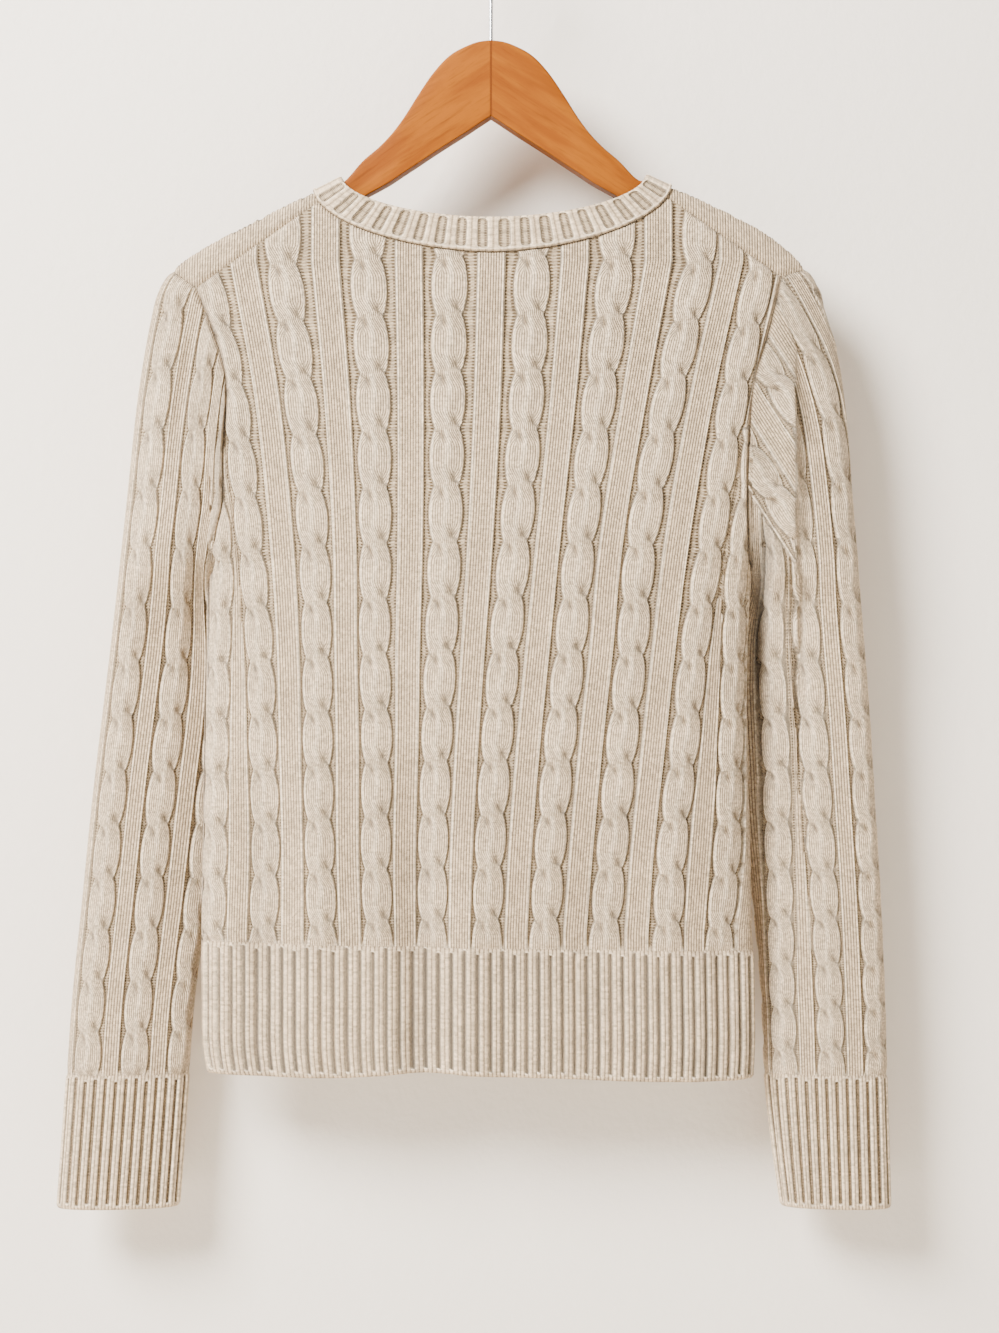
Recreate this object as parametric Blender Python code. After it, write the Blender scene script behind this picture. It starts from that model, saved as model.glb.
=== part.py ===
"""Cable knit sweater hanging on a wooden hanger, its back towards -Y.

Sizes are in millimetres and become metres when a mesh is made. A "drop" is a distance below the
hook's seat, which is the origin. A "side" is -1 on the back of the garment and +1 on its front.
Left and right are as seen from behind, so left is -X.
"""

from collections import namedtuple
from functools import lru_cache

import bpy
import numpy as np
from mathutils.geometry import delaunay_2d_cdt

MM = 0.001
BACK, FRONT = -1, 1

# Cloth
WALL = 2.2
SEAM_GAP = 0.3
UNDERARM_EASE = 7  # how much wider the armhole's gap is at the underarm, as a share of its width
ARM_DEPTH_SHARE = 0.5  # half depth of a sleeve where it parts from the body, as a share of the body's
PART_RISE = 85  # height over which body and sleeve grow together above the underarm
PART_POWER = 0.6
UNDERARM = {"left": (183.5, 417), "right": (170.9, 427)}  # reach from the middle, drop
ARMHOLE_TOP = {"left": 226.8, "right": 225.5}  # drop at which each armhole seam crosses the fold
ARMHOLE_STEPS, SHOULDER_END_STEPS, SHOULDER_STEPS = 13, 3, 7
HEM_TOP, HEM_TILT = 670.5, 0.018  # drop of the rib at the middle, and its fall to the right
HEM_BOTTOM, HEM_WAVE, HEM_WAVE_LENGTH, HEM_WAVE_AT = 754.5, 1.8, 211, -73
CUFF_TOP, CUFF_BOTTOM = 757, 845.5

# Half widths of the whole garment, sleeves included, down to the underarms.
Reach = namedtuple("Reach", "drop left right")
OUTLINE = [
    Reach(113, 0.0, 0.0),
    Reach(165, 97.7, 104.5),
    Reach(180, 127.5, 138.0),
    Reach(200, 167.5, 177.5),
    Reach(210, 186.0, 191.5),
    Reach(220, 202.0, 202.5),
    Reach(229, 212.0, 209.5),
    Reach(239, 217.8, 213.5),
    Reach(258, 222.5, 219.5),
    Reach(278, 226.4, 225.8),
    Reach(311, 231.5, 231.8),
    Reach(377, 238.6, 236.9),
    Reach(417, 243.0, 240.3),
    Reach(427, 244.1, 240.9),
]
# Half widths of the body alone.
BODY = [
    Reach(417, 183.5, 170.9),
    Reach(430, 184.4, 170.4),
    Reach(470, 185.6, 168.2),
    Reach(509, 186.8, 167.6),
    Reach(575, 187.6, 169.0),
    Reach(641, 188.8, 170.9),
    Reach(707, 188.8, 172.3),
    Reach(738, 188.0, 172.3),
    Reach(760, 184.0, 171.0),
]
# Half depth of the garment, and the power of its sections: 2 is an ellipse, more is boxier.
Section = namedtuple("Section", "drop depth power")
SECTIONS = [
    Section(113, 13.0, 3.2),
    Section(165, 13.5, 3.2),
    Section(200, 14.2, 3.2),
    Section(240, 16.5, 2.9),
    Section(300, 21.0, 2.55),
    Section(377, 26.0, 2.45),
    Section(440, 28.5, 2.45),
    Section(520, 29.0, 2.45),
    Section(610, 27.5, 2.45),
    Section(672, 25.5, 2.45),
    Section(760, 27.0, 2.45),
]
# Armhole seam on the back, from the underarm up to the shoulder seam.
Seam = namedtuple("Seam", "left left_drop right right_drop")
ARMHOLE = [
    Seam(183.5, 417.0, 170.9, 427.0),
    Seam(180.0, 398.0, 168.6, 404.0),
    Seam(175.7, 378.0, 167.9, 378.0),
    Seam(175.4, 345.5, 168.7, 346.5),
    Seam(173.1, 313.0, 171.0, 309.0),
    Seam(174.6, 292.0, 175.2, 290.0),
    Seam(182.6, 266.0, 182.6, 266.0),
    Seam(193.6, 238.8, 190.8, 231.5),
]
# Rings of a sleeve below the underarm: its inner and outer edge, how far forward of the middle plane
# each lies, and half its depth.
Ring = namedtuple("Ring", "drop inner inner_y outer outer_y depth")
SLEEVE_LEFT = [
    Ring(417, 184.2, 0.0, 243.0, 0.0, 14.0),
    Ring(426, 186.0, 5.5, 244.0, 0.6, 14.0),
    Ring(436, 186.4, 12.0, 245.3, 1.8, 14.0),
    Ring(448, 185.0, 18.0, 246.9, 3.4, 14.5),
    Ring(462, 182.2, 23.5, 248.8, 5.4, 15.0),
    Ring(484, 178.5, 28.5, 251.8, 8.4, 15.8),
    Ring(515, 177.0, 31.0, 256.0, 11.0, 16.5),
    Ring(575, 183.0, 30.0, 263.4, 12.8, 17.0),
    Ring(641, 190.7, 27.0, 270.1, 13.0, 17.0),
    Ring(710, 199.5, 21.0, 276.9, 12.0, 16.5),
    Ring(757, 202.9, 19.0, 280.0, 11.0, 15.5),
    Ring(846, 209.3, 17.0, 286.4, 10.0, 14.5),
]
SLEEVE_RIGHT = [
    Ring(427, 171.6, 0.0, 240.9, 0.0, 14.0),
    Ring(436, 171.2, 6.5, 241.7, 0.6, 14.0),
    Ring(446, 168.8, 13.0, 242.6, 1.8, 14.2),
    Ring(458, 165.4, 19.5, 243.8, 3.4, 14.8),
    Ring(472, 163.0, 25.0, 245.2, 5.4, 15.5),
    Ring(494, 162.4, 30.0, 247.4, 8.4, 16.5),
    Ring(525, 163.4, 32.0, 250.0, 11.0, 17.3),
    Ring(575, 167.0, 31.5, 253.2, 12.8, 17.8),
    Ring(641, 176.5, 28.0, 257.2, 13.0, 17.5),
    Ring(710, 182.4, 23.0, 260.0, 12.0, 16.5),
    Ring(759, 184.0, 19.0, 261.2, 11.0, 15.5),
    Ring(806, 189.0, 18.0, 262.5, 10.5, 14.8),
    Ring(846, 194.6, 17.0, 263.6, 10.0, 14.0),
]
SLEEVE_GIRTH = 184  # round the sleeve, as the measure of its unrolled width
SLEEVE_WIDTH = 80  # usual width of the flat sleeve
GATHERING = 3.3
ARMHOLE_TURN = 345.5  # above this drop the armhole seam turns outwards

# Soft folds, each from one place to another: x, drop, half width and height, minus for a trough.
Fold = namedtuple("Fold", "x drop to_x to_drop width height")
BODY_FOLDS = [
    Fold(-48, 560, -56, 780, 26, -4.0),
    Fold(-8, 600, 4, 780, 24, 2.5),
    Fold(66, 570, 58, 780, 28, -2.5),
    Fold(-118, 520, -112, 780, 22, 2.0),
    Fold(126, 470, 118, 690, 18, 1.5),
]
LEFT_FOLDS = [
    Fold(-192, 252, -209, 345, 6.5, -3.0),
    Fold(-184, 288, -196, 372, 6.0, -2.6),
    Fold(-202, 262, -217, 360, 7.0, 2.2),
]
RIGHT_FOLDS = [
    Fold(178, 372, 190, 590, 10.0, 4.6),
    Fold(175, 430, 176, 640, 6.0, -5.0),
    Fold(190, 300, 205, 570, 6.0, -3.6),
    Fold(186, 262, 208, 352, 6.0, 2.0),
]
CUFF_FOLDS = [Fold(187, 752, 198, 880, 3.5, -3.2)]

# Knit relief
Spine = namedtuple("Spine", "at222 at311 at410 at476 at536 at608 at661")
SPINE_DROPS = (222, 311, 410, 476, 536, 608, 661)
BODY_SPINES = [
    Spine(-214, -195, -176, -177.9, -179.7, -181, -182.4),
    Spine(-188, -168.3, -156.6, -150.7, -148.7, -146.9, -148.7),
    Spine(-136.2, -124.1, -115, -113, -112.4, -111.1, -109.7),
    Spine(-80.5, -76.6, -75, -75.4, -74, -74.7, -73.4),
    Spine(-26.8, -27.9, -29.9, -32.4, -35, -37.6, -38.2),
    Spine(27.5, 23.5, 15.6, 9.1, 4, -0.6, -2.5),
    Spine(82.6, 70.9, 57.9, 51.4, 44.9, 38.4, 35.1),
    Spine(136.8, 116.4, 97.6, 91.8, 85.3, 78.8, 74.2),
    Spine(178, 158.7, 143.1, 132.7, 126.2, 117.8, 115.1),
    Spine(214, 187, 162.5, 159, 157, 154.5, 149.3),
]
CROSSING_FIRST, CROSSING_STEP, CROSSING_CLOSING = 218.9, 38.34, 0.193  # drops of a cable's crossings
CROSSING_SAG = 2.7e-4  # the rows of crossings hang lower towards the sides
USUAL_SPACING = 38
CABLE_HALF, CABLE_GROWTH = 10.3, 0.12  # half width at the usual spacing, and more for each mm over it
PANEL_HALF, PANEL_GROWTH = 7.8, 0.09
SLEEVE_CABLES = 6
SLEEVE_FIRST = {"left": 11.0, "right": 18.6}  # distance round to the first cable's middle
SLEEVE_LEAN = {"left": 0.0, "right": 8.0}  # how far the cables lean over in the first 100 mm of the cap
SLEEVE_LEAN_FROM = 395
SLEEVE_CABLE_HALF, SLEEVE_PANEL_HALF = 9.0, 4.9
EDGE_ROOM = 5  # no other relief point is nearer to the line down the outer edge
GATHERED_ROOM, GATHERED_DOWN = 31, 62  # nor to the inner edge, down to so far below the underarm
SLEEVE_CROSSING_STEP = 37.5
CABLE_WAIST = 0.62  # width at a crossing, as a share of the full width
CABLE_HIGH, CABLE_LOW = 2.8, 1.9  # the strand that comes from over the last crossing, and the other
PANEL_HIGH = 0.8
PANEL_LEAST = 3.5  # half width
CLEAR_OF_EDGE = 3.2  # no relief point lies nearer than this to the edge of a piece
LAP_ROOM = 8  # nor to the shoulder's fold
FOLD_SPACING, FOLD_ROOM = 8, 1.2
FOLD_LIFTS, FOLD_LIFTS_INSIDE = (-5, 0, 5), (-13, -5, 0, 5, 13)  # rows of points beside the fold
FOLD_CLEAR = 4.5  # no other point lies nearer to these
LINING_STEP, LINING_ROOM, TUBE_LINING_ROOM = 36, 9, 4  # points of the wall's plain inner face
SIDE_STEPS, HEM_STEPS = 16, 30  # points of a panel's edges
TUBE_ROWS, TUBE_COLUMNS = 22, 24  # points of a sleeve's edges

Rib = namedtuple("Rib", "count height")
HEM_RIB = Rib(46, 1.3)
CUFF_RIB = Rib(28, 1.1)
NECK_RIB = Rib(42, 1.3)
NECK_RIB_MARKS = (0.0, 0.52, 0.62, 0.90)  # a rib's two crests, then its groove's two edges

# Neck: drops of the band's two edges at the middle, and how far each reaches along the shoulders.
Neckline = namedtuple("Neckline", "back front left right power")
NECK_OUTER = Neckline(215.8, 262, 116.5, 118.5, 1.8)
NECK_INNER = Neckline(192.9, 238, 98.0, 101.8, 1.9)

# Hanger
Station = namedtuple("Station", "reach top height thickness")
HANGER_SHOWN = [
    Station(0.15, 75.0, 50.2, 15.0),
    Station(8, 76.0, 54.4, 15.0),
    Station(15.5, 78.6, 56.8, 15.0),
    Station(28, 85.8, 57.5, 15.0),
    Station(39, 97.9, 52.5, 15.0),
    Station(48.5, 112.0, 44.8, 15.0),
    Station(58, 127.0, 36.0, 15.0),
    Station(66, 137.4, 31.0, 14.6),
    Station(74, 145.6, 27.4, 14.0),
    Station(84, 154.0, 24.8, 13.2),
]
HANGER_HIDDEN = [  # here the top is measured down from the cloth that lies on it
    Station(97, 0.9, 23.5, 12.6),
    Station(103, 1.6, 23.0, 12.0),
    Station(114, 3.0, 21.5, 11.2),
    Station(126, 3.5, 20.5, 11.2),
    Station(160, 3.5, 19.0, 11.2),
    Station(184, 4.4, 15.5, 9.5),
    Station(195, 4.8, 13.0, 7.0),
    Station(200, 6.0, 9.0, 4.0),
]
HANGER_CORNER = [(0.0, 0.0), (0.66, 0.26), (1.0, 1.0)]  # as shares of half the thickness
HOOK_WIRE, HOOK_BORE = 2.8, 35
HOOK_STEM_TOP = 48
HOOK_POINTS = 26
HOOK_TURN = (-52, 196)  # degrees of the hook's round part, from its stem's side to its tip


def smooth(rows, column, at, by="drop"):
    """Value of a table's column at these places, on a curve through its rows."""
    knots = np.array([getattr(row, by) for row in rows], float)
    values = np.array([getattr(row, column) for row in rows], float)
    slopes = np.diff(values) / np.diff(knots)
    tangents = np.concatenate([slopes[:1], (slopes[1:] + slopes[:-1]) / 2, slopes[-1:]])
    at = np.clip(at, knots[0], knots[-1])
    i = np.clip(np.searchsorted(knots, at, side="right") - 1, 0, len(knots) - 2)
    span = knots[i + 1] - knots[i]
    t = (at - knots[i]) / span
    lead = (1 + 2 * t) * (1 - t) ** 2 * values[i] + t * (1 - t) ** 2 * span * tangents[i]
    return lead + t * t * (3 - 2 * t) * values[i + 1] + t * t * (t - 1) * span * tangents[i + 1]


def side_of(x):
    return "left" if x < 0 else "right"


def by_side(rows, x, drop):
    return np.where(x < 0, smooth(rows, "left", drop), smooth(rows, "right", drop))


def bulge(share, power):
    """Height of a section of height 1, from its middle (0) to its edge (1)."""
    return np.maximum(1 - np.abs(share) ** power, 0) ** (1 / power)


def half_depth(x, drop):
    """Distance of the cloth from the middle plane: the back lies behind by it, the front before."""
    x, drop = np.asarray(x, float), np.asarray(drop, float)
    across = np.abs(x)
    underarm = np.where(x < 0, UNDERARM["left"][1], UNDERARM["right"][1])
    whole_reach, body_reach = by_side(OUTLINE, x, drop), by_side(BODY, x, drop)
    power = smooth(SECTIONS, "power", drop)
    apart = 1 - (np.clip(underarm - drop, 0, PART_RISE) / PART_RISE) ** PART_POWER
    whole = bulge(across / whole_reach, power)
    arm_middle, arm_half = (whole_reach + body_reach) / 2, (whole_reach - body_reach) / 2
    arm = ARM_DEPTH_SHARE * bulge((across - arm_middle) / arm_half, power)
    parted = np.where(across < body_reach, bulge(across / body_reach, power), arm)
    return smooth(SECTIONS, "depth", drop) * ((1 - apart) * whole + apart * parted)


def outward(x, drop, side, reach=0.5):
    """Direction away from the garment's inside, also on its folds, where the depth is 0."""
    power = smooth(SECTIONS, "power", drop)
    depth = half_depth(x, drop)
    across = half_depth(x + reach, drop) ** power - half_depth(x - reach, drop) ** power
    down = half_depth(x, drop + reach) ** power - half_depth(x, drop - reach) ** power
    normal = np.stack([-across, side * power * depth ** (power - 1) * 2 * reach, down], axis=-1)
    return normal / np.maximum(np.linalg.norm(normal, axis=-1, keepdims=True), 1e-9)


def fold_height(folds, x, drop):
    total = np.zeros(np.shape(x))
    for fold in folds:
        run, fall = fold.to_x - fold.x, fold.to_drop - fold.drop
        t = ((x - fold.x) * run + (drop - fold.drop) * fall) / (run * run + fall * fall)
        t = np.clip(t, 0, 1)
        off = np.hypot(x - fold.x - t * run, drop - fold.drop - t * fall)
        total = total + fold.height * np.exp(-((off / fold.width) ** 2)) * np.sin(np.pi * t) ** 0.7
    return total


# ---- Body: positions by distance along the cloth from the middle line, and drop

SLIT_TOP = 408  # just above the underarms
TABLE_TOP, TABLE_BOTTOM, TABLE_STEP, TABLE_COLUMNS = 332, 770, 2, 400


@lru_cache(None)
def girth_table(name):
    """For one side: the cloth's half girth at each drop, and x and depth at even shares of it."""
    sign = -1 if name == "left" else 1
    drops = np.arange(TABLE_TOP, TABLE_BOTTOM + 1, TABLE_STEP, dtype=float)
    edge = smooth(BODY, name, drops)
    x = edge[:, None] * np.sin(np.linspace(0, np.pi / 2, 300))[None, :]
    depth = half_depth(sign * x, np.broadcast_to(drops[:, None], x.shape))
    if_flat = np.cumsum(np.hypot(np.diff(x, axis=1), np.diff(depth, axis=1)), axis=1)
    along = np.concatenate([np.zeros((len(drops), 1)), if_flat], axis=1)
    t = np.clip((drops - TABLE_TOP) / PART_RISE, 0, 1)[:, None]
    along = x + t * t * (3 - 2 * t) * (along - x)
    even = np.linspace(0, 1, TABLE_COLUMNS)
    shares = [row / row[-1] for row in along]
    x_even = np.array([np.interp(even, s, row) for s, row in zip(shares, x)])
    depth_even = np.array([np.interp(even, s, row) for s, row in zip(shares, depth)])
    return drops, along[:, -1], x_even, depth_even


def half_girth(name, drop):
    drops, girth, _, _ = girth_table(name)
    return np.interp(drop, drops, girth)


def from_table(name, along, drop):
    drops, girth, x_even, depth_even = girth_table(name)
    row = np.clip((drop - TABLE_TOP) / TABLE_STEP, 0, len(drops) - 1.001)
    share = np.clip(np.abs(along) / np.interp(drop, drops, girth), 0, 1)
    column = np.minimum(share * (TABLE_COLUMNS - 1), TABLE_COLUMNS - 1.001)
    i, j = row.astype(int), column.astype(int)
    u, v = row - i, column - j

    def blend(grid):
        upper = grid[i, j] * (1 - v) + grid[i, j + 1] * v
        lower = grid[i + 1, j] * (1 - v) + grid[i + 1, j + 1] * v
        return upper * (1 - u) + lower * u

    return blend(x_even), blend(depth_even)


def x_and_depth(along, drop):
    """Above the table a point's distance along the cloth is its x."""
    along, drop = np.asarray(along, float), np.asarray(drop, float)
    left, right = from_table("left", along, drop), from_table("right", along, drop)
    x = np.where(along < 0, -left[0], right[0])
    depth = np.where(along < 0, left[1], right[1])
    high = drop < TABLE_TOP
    return np.where(high, along, x), np.where(high, half_depth(along, drop), depth)


def along_of(x, drop):
    """Distance along the cloth of one point given by its x."""
    if drop < TABLE_TOP:
        return x
    shares = np.linspace(-1, 1, 801) * half_girth(side_of(x), drop)
    return float(np.interp(x, x_and_depth(shares, np.full(801, drop))[0], shares))


def ridge(x):
    """Drop of the shoulder's fold at this x."""
    drops = np.linspace(113, 232, 240)
    on_left = np.interp(np.abs(x), smooth(OUTLINE, "left", drops), drops)
    on_right = np.interp(np.abs(x), smooth(OUTLINE, "right", drops), drops)
    return np.where(np.asarray(x) < 0, on_left, on_right)


def body_place(points, side):
    """Points of the cloth and its outward directions. Above the shoulder's fold the front's cloth
    comes over to the back, and its drop goes on upwards as if it were unfolded."""
    along, drop = points[:, 0], points[:, 1]
    sides = np.full(len(along), side)
    if side == FRONT:
        fold = ridge(along)
        lapped = (drop < fold) & (drop < TABLE_TOP)
        drop = np.where(lapped, 2 * fold - drop, drop)
        sides = np.where(lapped, BACK, sides)
    x, depth = x_and_depth(along, drop)
    edge = by_side(BODY, x, drop)
    fade = np.clip((edge - np.abs(x)) / 25, 0, 1) * np.clip((drop - 440) / 60, 0, 1)
    raised = fold_height(BODY_FOLDS, x * -side, drop) * fade
    place = np.stack([x, sides * (depth + raised), -drop], axis=1)
    return place, outward(x, drop, sides)


# ---- Sleeve: positions by distance round it from its inner edge, and drop


def round_share(share):
    """How far across a flat tube, from edge to edge, a point lies at this share of half its girth."""
    x = -np.cos(np.linspace(0, np.pi, 400))
    girth = np.concatenate([[0], np.cumsum(np.hypot(np.diff(x), np.diff(0.4 * bulge(x, 2.45))))])
    return np.interp(share, girth / girth[-1], (x + 1) / 2)


def inset(share, width):
    """Distance from the sleeve's outer edge. Where the sleeve is narrower than usual, its cloth is
    gathered towards the inner edge."""
    usual = 1 - round_share(share)
    return SLEEVE_WIDTH * usual - (SLEEVE_WIDTH - width) * usual**GATHERING


@lru_cache(None)
def armhole_points(name, outwards=0.0):
    """(reach, drop) of the armhole seam, from the underarm to the shoulder's fold, moved outwards."""
    sign = -1 if name == "left" else 1
    rows = [Reach(i, getattr(row, name), getattr(row, name + "_drop")) for i, row in enumerate(ARMHOLE)]
    fine = np.linspace(0, len(rows) - 1, 200)
    reach, drop = smooth(rows, "left", fine), smooth(rows, "right", fine)
    length = np.concatenate([[0], np.cumsum(np.hypot(np.diff(reach), np.diff(drop)))])
    marks = np.linspace(0, 1, ARMHOLE_STEPS + 1) ** 1.25 * length[-1]
    seam = [(np.interp(m, length, reach), np.interp(m, length, drop)) for m in marks]
    top = ARMHOLE_TOP[name]
    end = (float(by_side(OUTLINE, np.array(sign), np.array(top))), top)
    for i in range(1, SHOULDER_END_STEPS + 1):
        t = 1 - (1 - i / SHOULDER_END_STEPS) ** 2
        seam.append(tuple(np.array(seam[ARMHOLE_STEPS]) * (1 - t) + np.array(end) * t))
    seam = np.array(seam)
    run = np.gradient(seam, axis=0)
    run /= np.linalg.norm(run, axis=1, keepdims=True)
    apart = outwards * (1 + UNDERARM_EASE * np.exp(-np.arange(len(seam)) / 1.5))
    return seam + np.column_stack([-run[:, 1], run[:, 0]]) * apart[:, None]


@lru_cache(None)
def sleeve_table(name):
    """Drops, and the sleeve's inner and outer edge there. Above the armhole seam's straight part the
    inner edge is only a guide, and the seam cuts the cloth."""
    sign = -1 if name == "left" else 1
    rows = SLEEVE_LEFT if name == "left" else SLEEVE_RIGHT
    seam = armhole_points(name, SEAM_GAP / 2)
    underarm = UNDERARM[name][1]
    drops = np.arange(220, CUFF_BOTTOM + 1, 1.0)
    outline = by_side(OUTLINE, np.full(len(drops), sign), drops)
    outer = np.where(drops < underarm, outline, smooth(rows, "outer", drops))
    straight = np.append(seam[1:, 1][::-1], underarm), np.append(seam[1:, 0][::-1], rows[0].inner)
    along_seam = np.interp(drops, *straight)
    width = np.interp(ARMHOLE_TURN, drops, outer - along_seam)
    inner = np.where(drops < ARMHOLE_TURN, outer - width, along_seam)
    return drops, np.where(drops < underarm, inner, smooth(rows, "inner", drops)), outer


def armhole_round(name, reach, drop):
    """Distance round the sleeve of a point of the armhole seam."""
    drops, inner, outer = sleeve_table(name)
    edge, width = np.interp(drop, drops, outer), np.interp(drop, drops, outer - inner)
    shares = np.linspace(1, 0, 400)
    return SLEEVE_GIRTH / 2 * float(np.interp(edge - reach, inset(shares, width), shares))


def sleeve_points(name, points):
    """Points of the cloth alone. The first column runs once round the sleeve, back, then front, and
    at its very end is still on the front."""
    sign = -1 if name == "left" else 1
    half = SLEEVE_GIRTH / 2
    round_, drop = points[:, 0], points[:, 1]
    round_ = np.where(round_ == SLEEVE_GIRTH, round_, round_ % SLEEVE_GIRTH)
    side = np.where(round_ <= half, BACK, FRONT)
    share = np.where(round_ <= half, round_, SLEEVE_GIRTH - round_) / half
    drops, inner_edge, outer_edge = sleeve_table(name)
    inner, outer = np.interp(drop, drops, inner_edge), np.interp(drop, drops, outer_edge)
    reach = outer - inset(share, outer - inner)
    part = (reach - inner) / (outer - inner)
    x = sign * reach
    rows = SLEEVE_LEFT if name == "left" else SLEEVE_RIGHT
    in_cap = drop < UNDERARM[name][1]
    inner_y, outer_y = smooth(rows, "inner_y", drop), smooth(rows, "outer_y", drop)
    tube = smooth(rows, "depth", drop) * bulge(2 * part - 1, 2.45)
    depth = np.where(in_cap, half_depth(x, drop), tube)
    middle = np.where(in_cap, 0, inner_y + (outer_y - inner_y) * part)
    folds = LEFT_FOLDS if name == "left" else RIGHT_FOLDS + CUFF_FOLDS
    fade = (1 - np.abs(2 * part - 1) ** 6) * (side == BACK)
    raised = fold_height(folds, x, drop) * np.clip(fade, 0, 1) * np.clip(depth / 6, 0, 1)
    return np.stack([x, middle + side * (depth + raised), -drop], axis=1), in_cap, x, side


def sleeve_place(name, points, step=0.4):
    place, in_cap, x, side = sleeve_points(name, points)
    lower = points.copy()
    lower[:, 1] = np.maximum(points[:, 1], UNDERARM[name][1] + step)
    ahead, behind = (sleeve_points(name, lower + [d, 0])[0] for d in (step, -step))
    below, above = (sleeve_points(name, lower + [0, d])[0] for d in (step, -step))
    normal = np.cross(ahead - behind, above - below)
    normal *= -1 if name == "left" else 1
    normal /= np.maximum(np.linalg.norm(normal, axis=1, keepdims=True), 1e-9)
    return place, np.where(in_cap[:, None], outward(x, points[:, 1], side), normal)


# ---- Neckband: two loops round the neck, each from the left shoulder over the back and the front


def neck_loop(line, angle):
    """(x, drop, side) at angles from -90 degrees, the left shoulder, over 0, the back's middle."""
    turn, lean = np.sin(angle), np.cos(angle)
    side = np.where(lean > 0, BACK, FRONT)
    reach = np.where(turn < 0, line.left, line.right)
    shoulder = np.where(turn < 0, ridge(-line.left), ridge(line.right))
    middle = np.where(side == BACK, line.back, line.front)
    x = np.sign(turn) * reach * np.abs(turn) ** (2 / line.power)
    return x, shoulder + (middle - shoulder) * np.abs(lean) ** (2 / line.power), side


@lru_cache(None)
def neck_angles():
    """Angles of the rib's marks, evenly spaced along the band's outer edge."""
    fine = np.linspace(-np.pi / 2, 1.5 * np.pi, 2001)
    x, drop, side = neck_loop(NECK_OUTER, fine)
    track = np.stack([x, side * half_depth(x, drop), drop], axis=1)
    length = np.concatenate([[0], np.cumsum(np.linalg.norm(np.diff(track, axis=0), axis=1))])
    marks = (np.arange(NECK_RIB.count)[:, None] + np.array(NECK_RIB_MARKS)[None, :]).ravel()
    return np.interp(marks / NECK_RIB.count, length / length[-1], fine)


def band_place(points):
    """Points of the neckband by rib mark and share of its height, from its outer edge inwards."""
    angle, share = points[:, 0], points[:, 1]
    outer, inner = neck_loop(NECK_OUTER, angle), neck_loop(NECK_INNER, angle)
    x = outer[0] * (1 - share) + inner[0] * share
    drop = outer[1] * (1 - share) + inner[1] * share
    drop = np.maximum(drop, ridge(x))
    place = np.stack([x, outer[2] * half_depth(x, drop), -drop], axis=1)
    return place, outward(x, drop, outer[2])


def neck_seam(side):
    """The panel's neck edge from left to right, at the neckband's own marks, with both shoulder
    corners on the back: (x, drop), the drop unfolded on the front."""
    angles = neck_angles()[::2]
    x, drop, sides = neck_loop(NECK_OUTER, angles)
    left, right = shoulder_corner("left"), shoulder_corner("right")
    on_back = (angles >= angles[left]) & (angles <= angles[right])
    if side == BACK:
        return [(x[i], drop[i]) for i in np.flatnonzero(on_back)]
    order = list(range(left, -1, -1)) + list(range(len(angles) - 1, right - 1, -1))
    lapped = sides == BACK
    unfolded = np.where(lapped, 2 * ridge(x) - drop, drop)
    return [(x[i], unfolded[i]) for i in order]


@lru_cache(None)
def shoulder_corner(name):
    """Which of the neck seam's points meets the shoulder seam: the first a few mm down the back."""
    angles = neck_angles()[::2]
    x, drop, sides = neck_loop(NECK_OUTER, angles)
    below = np.where(sides == BACK, drop - ridge(x), 0)
    on_side = (x < 0) if name == "left" else (x > 0)
    found = np.flatnonzero((below > 4.5) & on_side & (sides == BACK))
    return int(found[0] if name == "left" else found[-1])


# ---- Solids


def add_object(name, verts, faces, look):
    mesh = bpy.data.meshes.new(name)
    mesh.from_pydata([tuple(v * MM) for v in np.asarray(verts)], [], faces)
    mesh.update()
    mesh.shade_smooth()
    mesh.set_sharp_from_angle(angle=np.radians(60))
    mesh.materials.append(material(*look))
    piece = bpy.data.objects.new(name, mesh)
    bpy.context.scene.collection.objects.link(piece)
    return piece


def material(name, colour, roughness, metallic=0.0):
    made = bpy.data.materials.get(name) or bpy.data.materials.new(name)
    made.use_nodes = True
    shader = made.node_tree.nodes["Principled BSDF"]
    shader.inputs["Base Color"].default_value = (*colour, 1)
    shader.inputs["Roughness"].default_value = roughness
    shader.inputs["Metallic"].default_value = metallic
    return made


KNIT_LOOK = ("oatmeal knit", (0.72, 0.64, 0.53), 0.95)
WOOD_LOOK = ("varnished wood", (0.56, 0.27, 0.09), 0.4)
WIRE_LOOK = ("plated wire", (0.62, 0.62, 0.62), 0.3, 1.0)


def inside(points, outline):
    """Which points lie within a closed outline."""
    x, y = points[:, 0][:, None], points[:, 1][:, None]
    ax, ay = outline[:, 0][None, :], outline[:, 1][None, :]
    bx, by = np.roll(ax, -1, axis=1), np.roll(ay, -1, axis=1)
    spans = (ay > y) != (by > y)
    with np.errstate(divide="ignore", invalid="ignore"):
        crosses = spans & (x < (bx - ax) * (y - ay) / (by - ay) + ax)
    return crosses.sum(axis=1) % 2 == 1


def clearance(points, outline):
    """Distance of each point from a closed outline."""
    start, end = outline[None, :, :], np.roll(outline, -1, axis=0)[None, :, :]
    run = end - start
    t = ((points[:, None, :] - start) * run).sum(axis=2) / np.maximum((run**2).sum(axis=2), 1e-12)
    nearest = start + np.clip(t, 0, 1)[:, :, None] * run
    return np.linalg.norm(points[:, None, :] - nearest, axis=2).min(axis=1)


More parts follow.
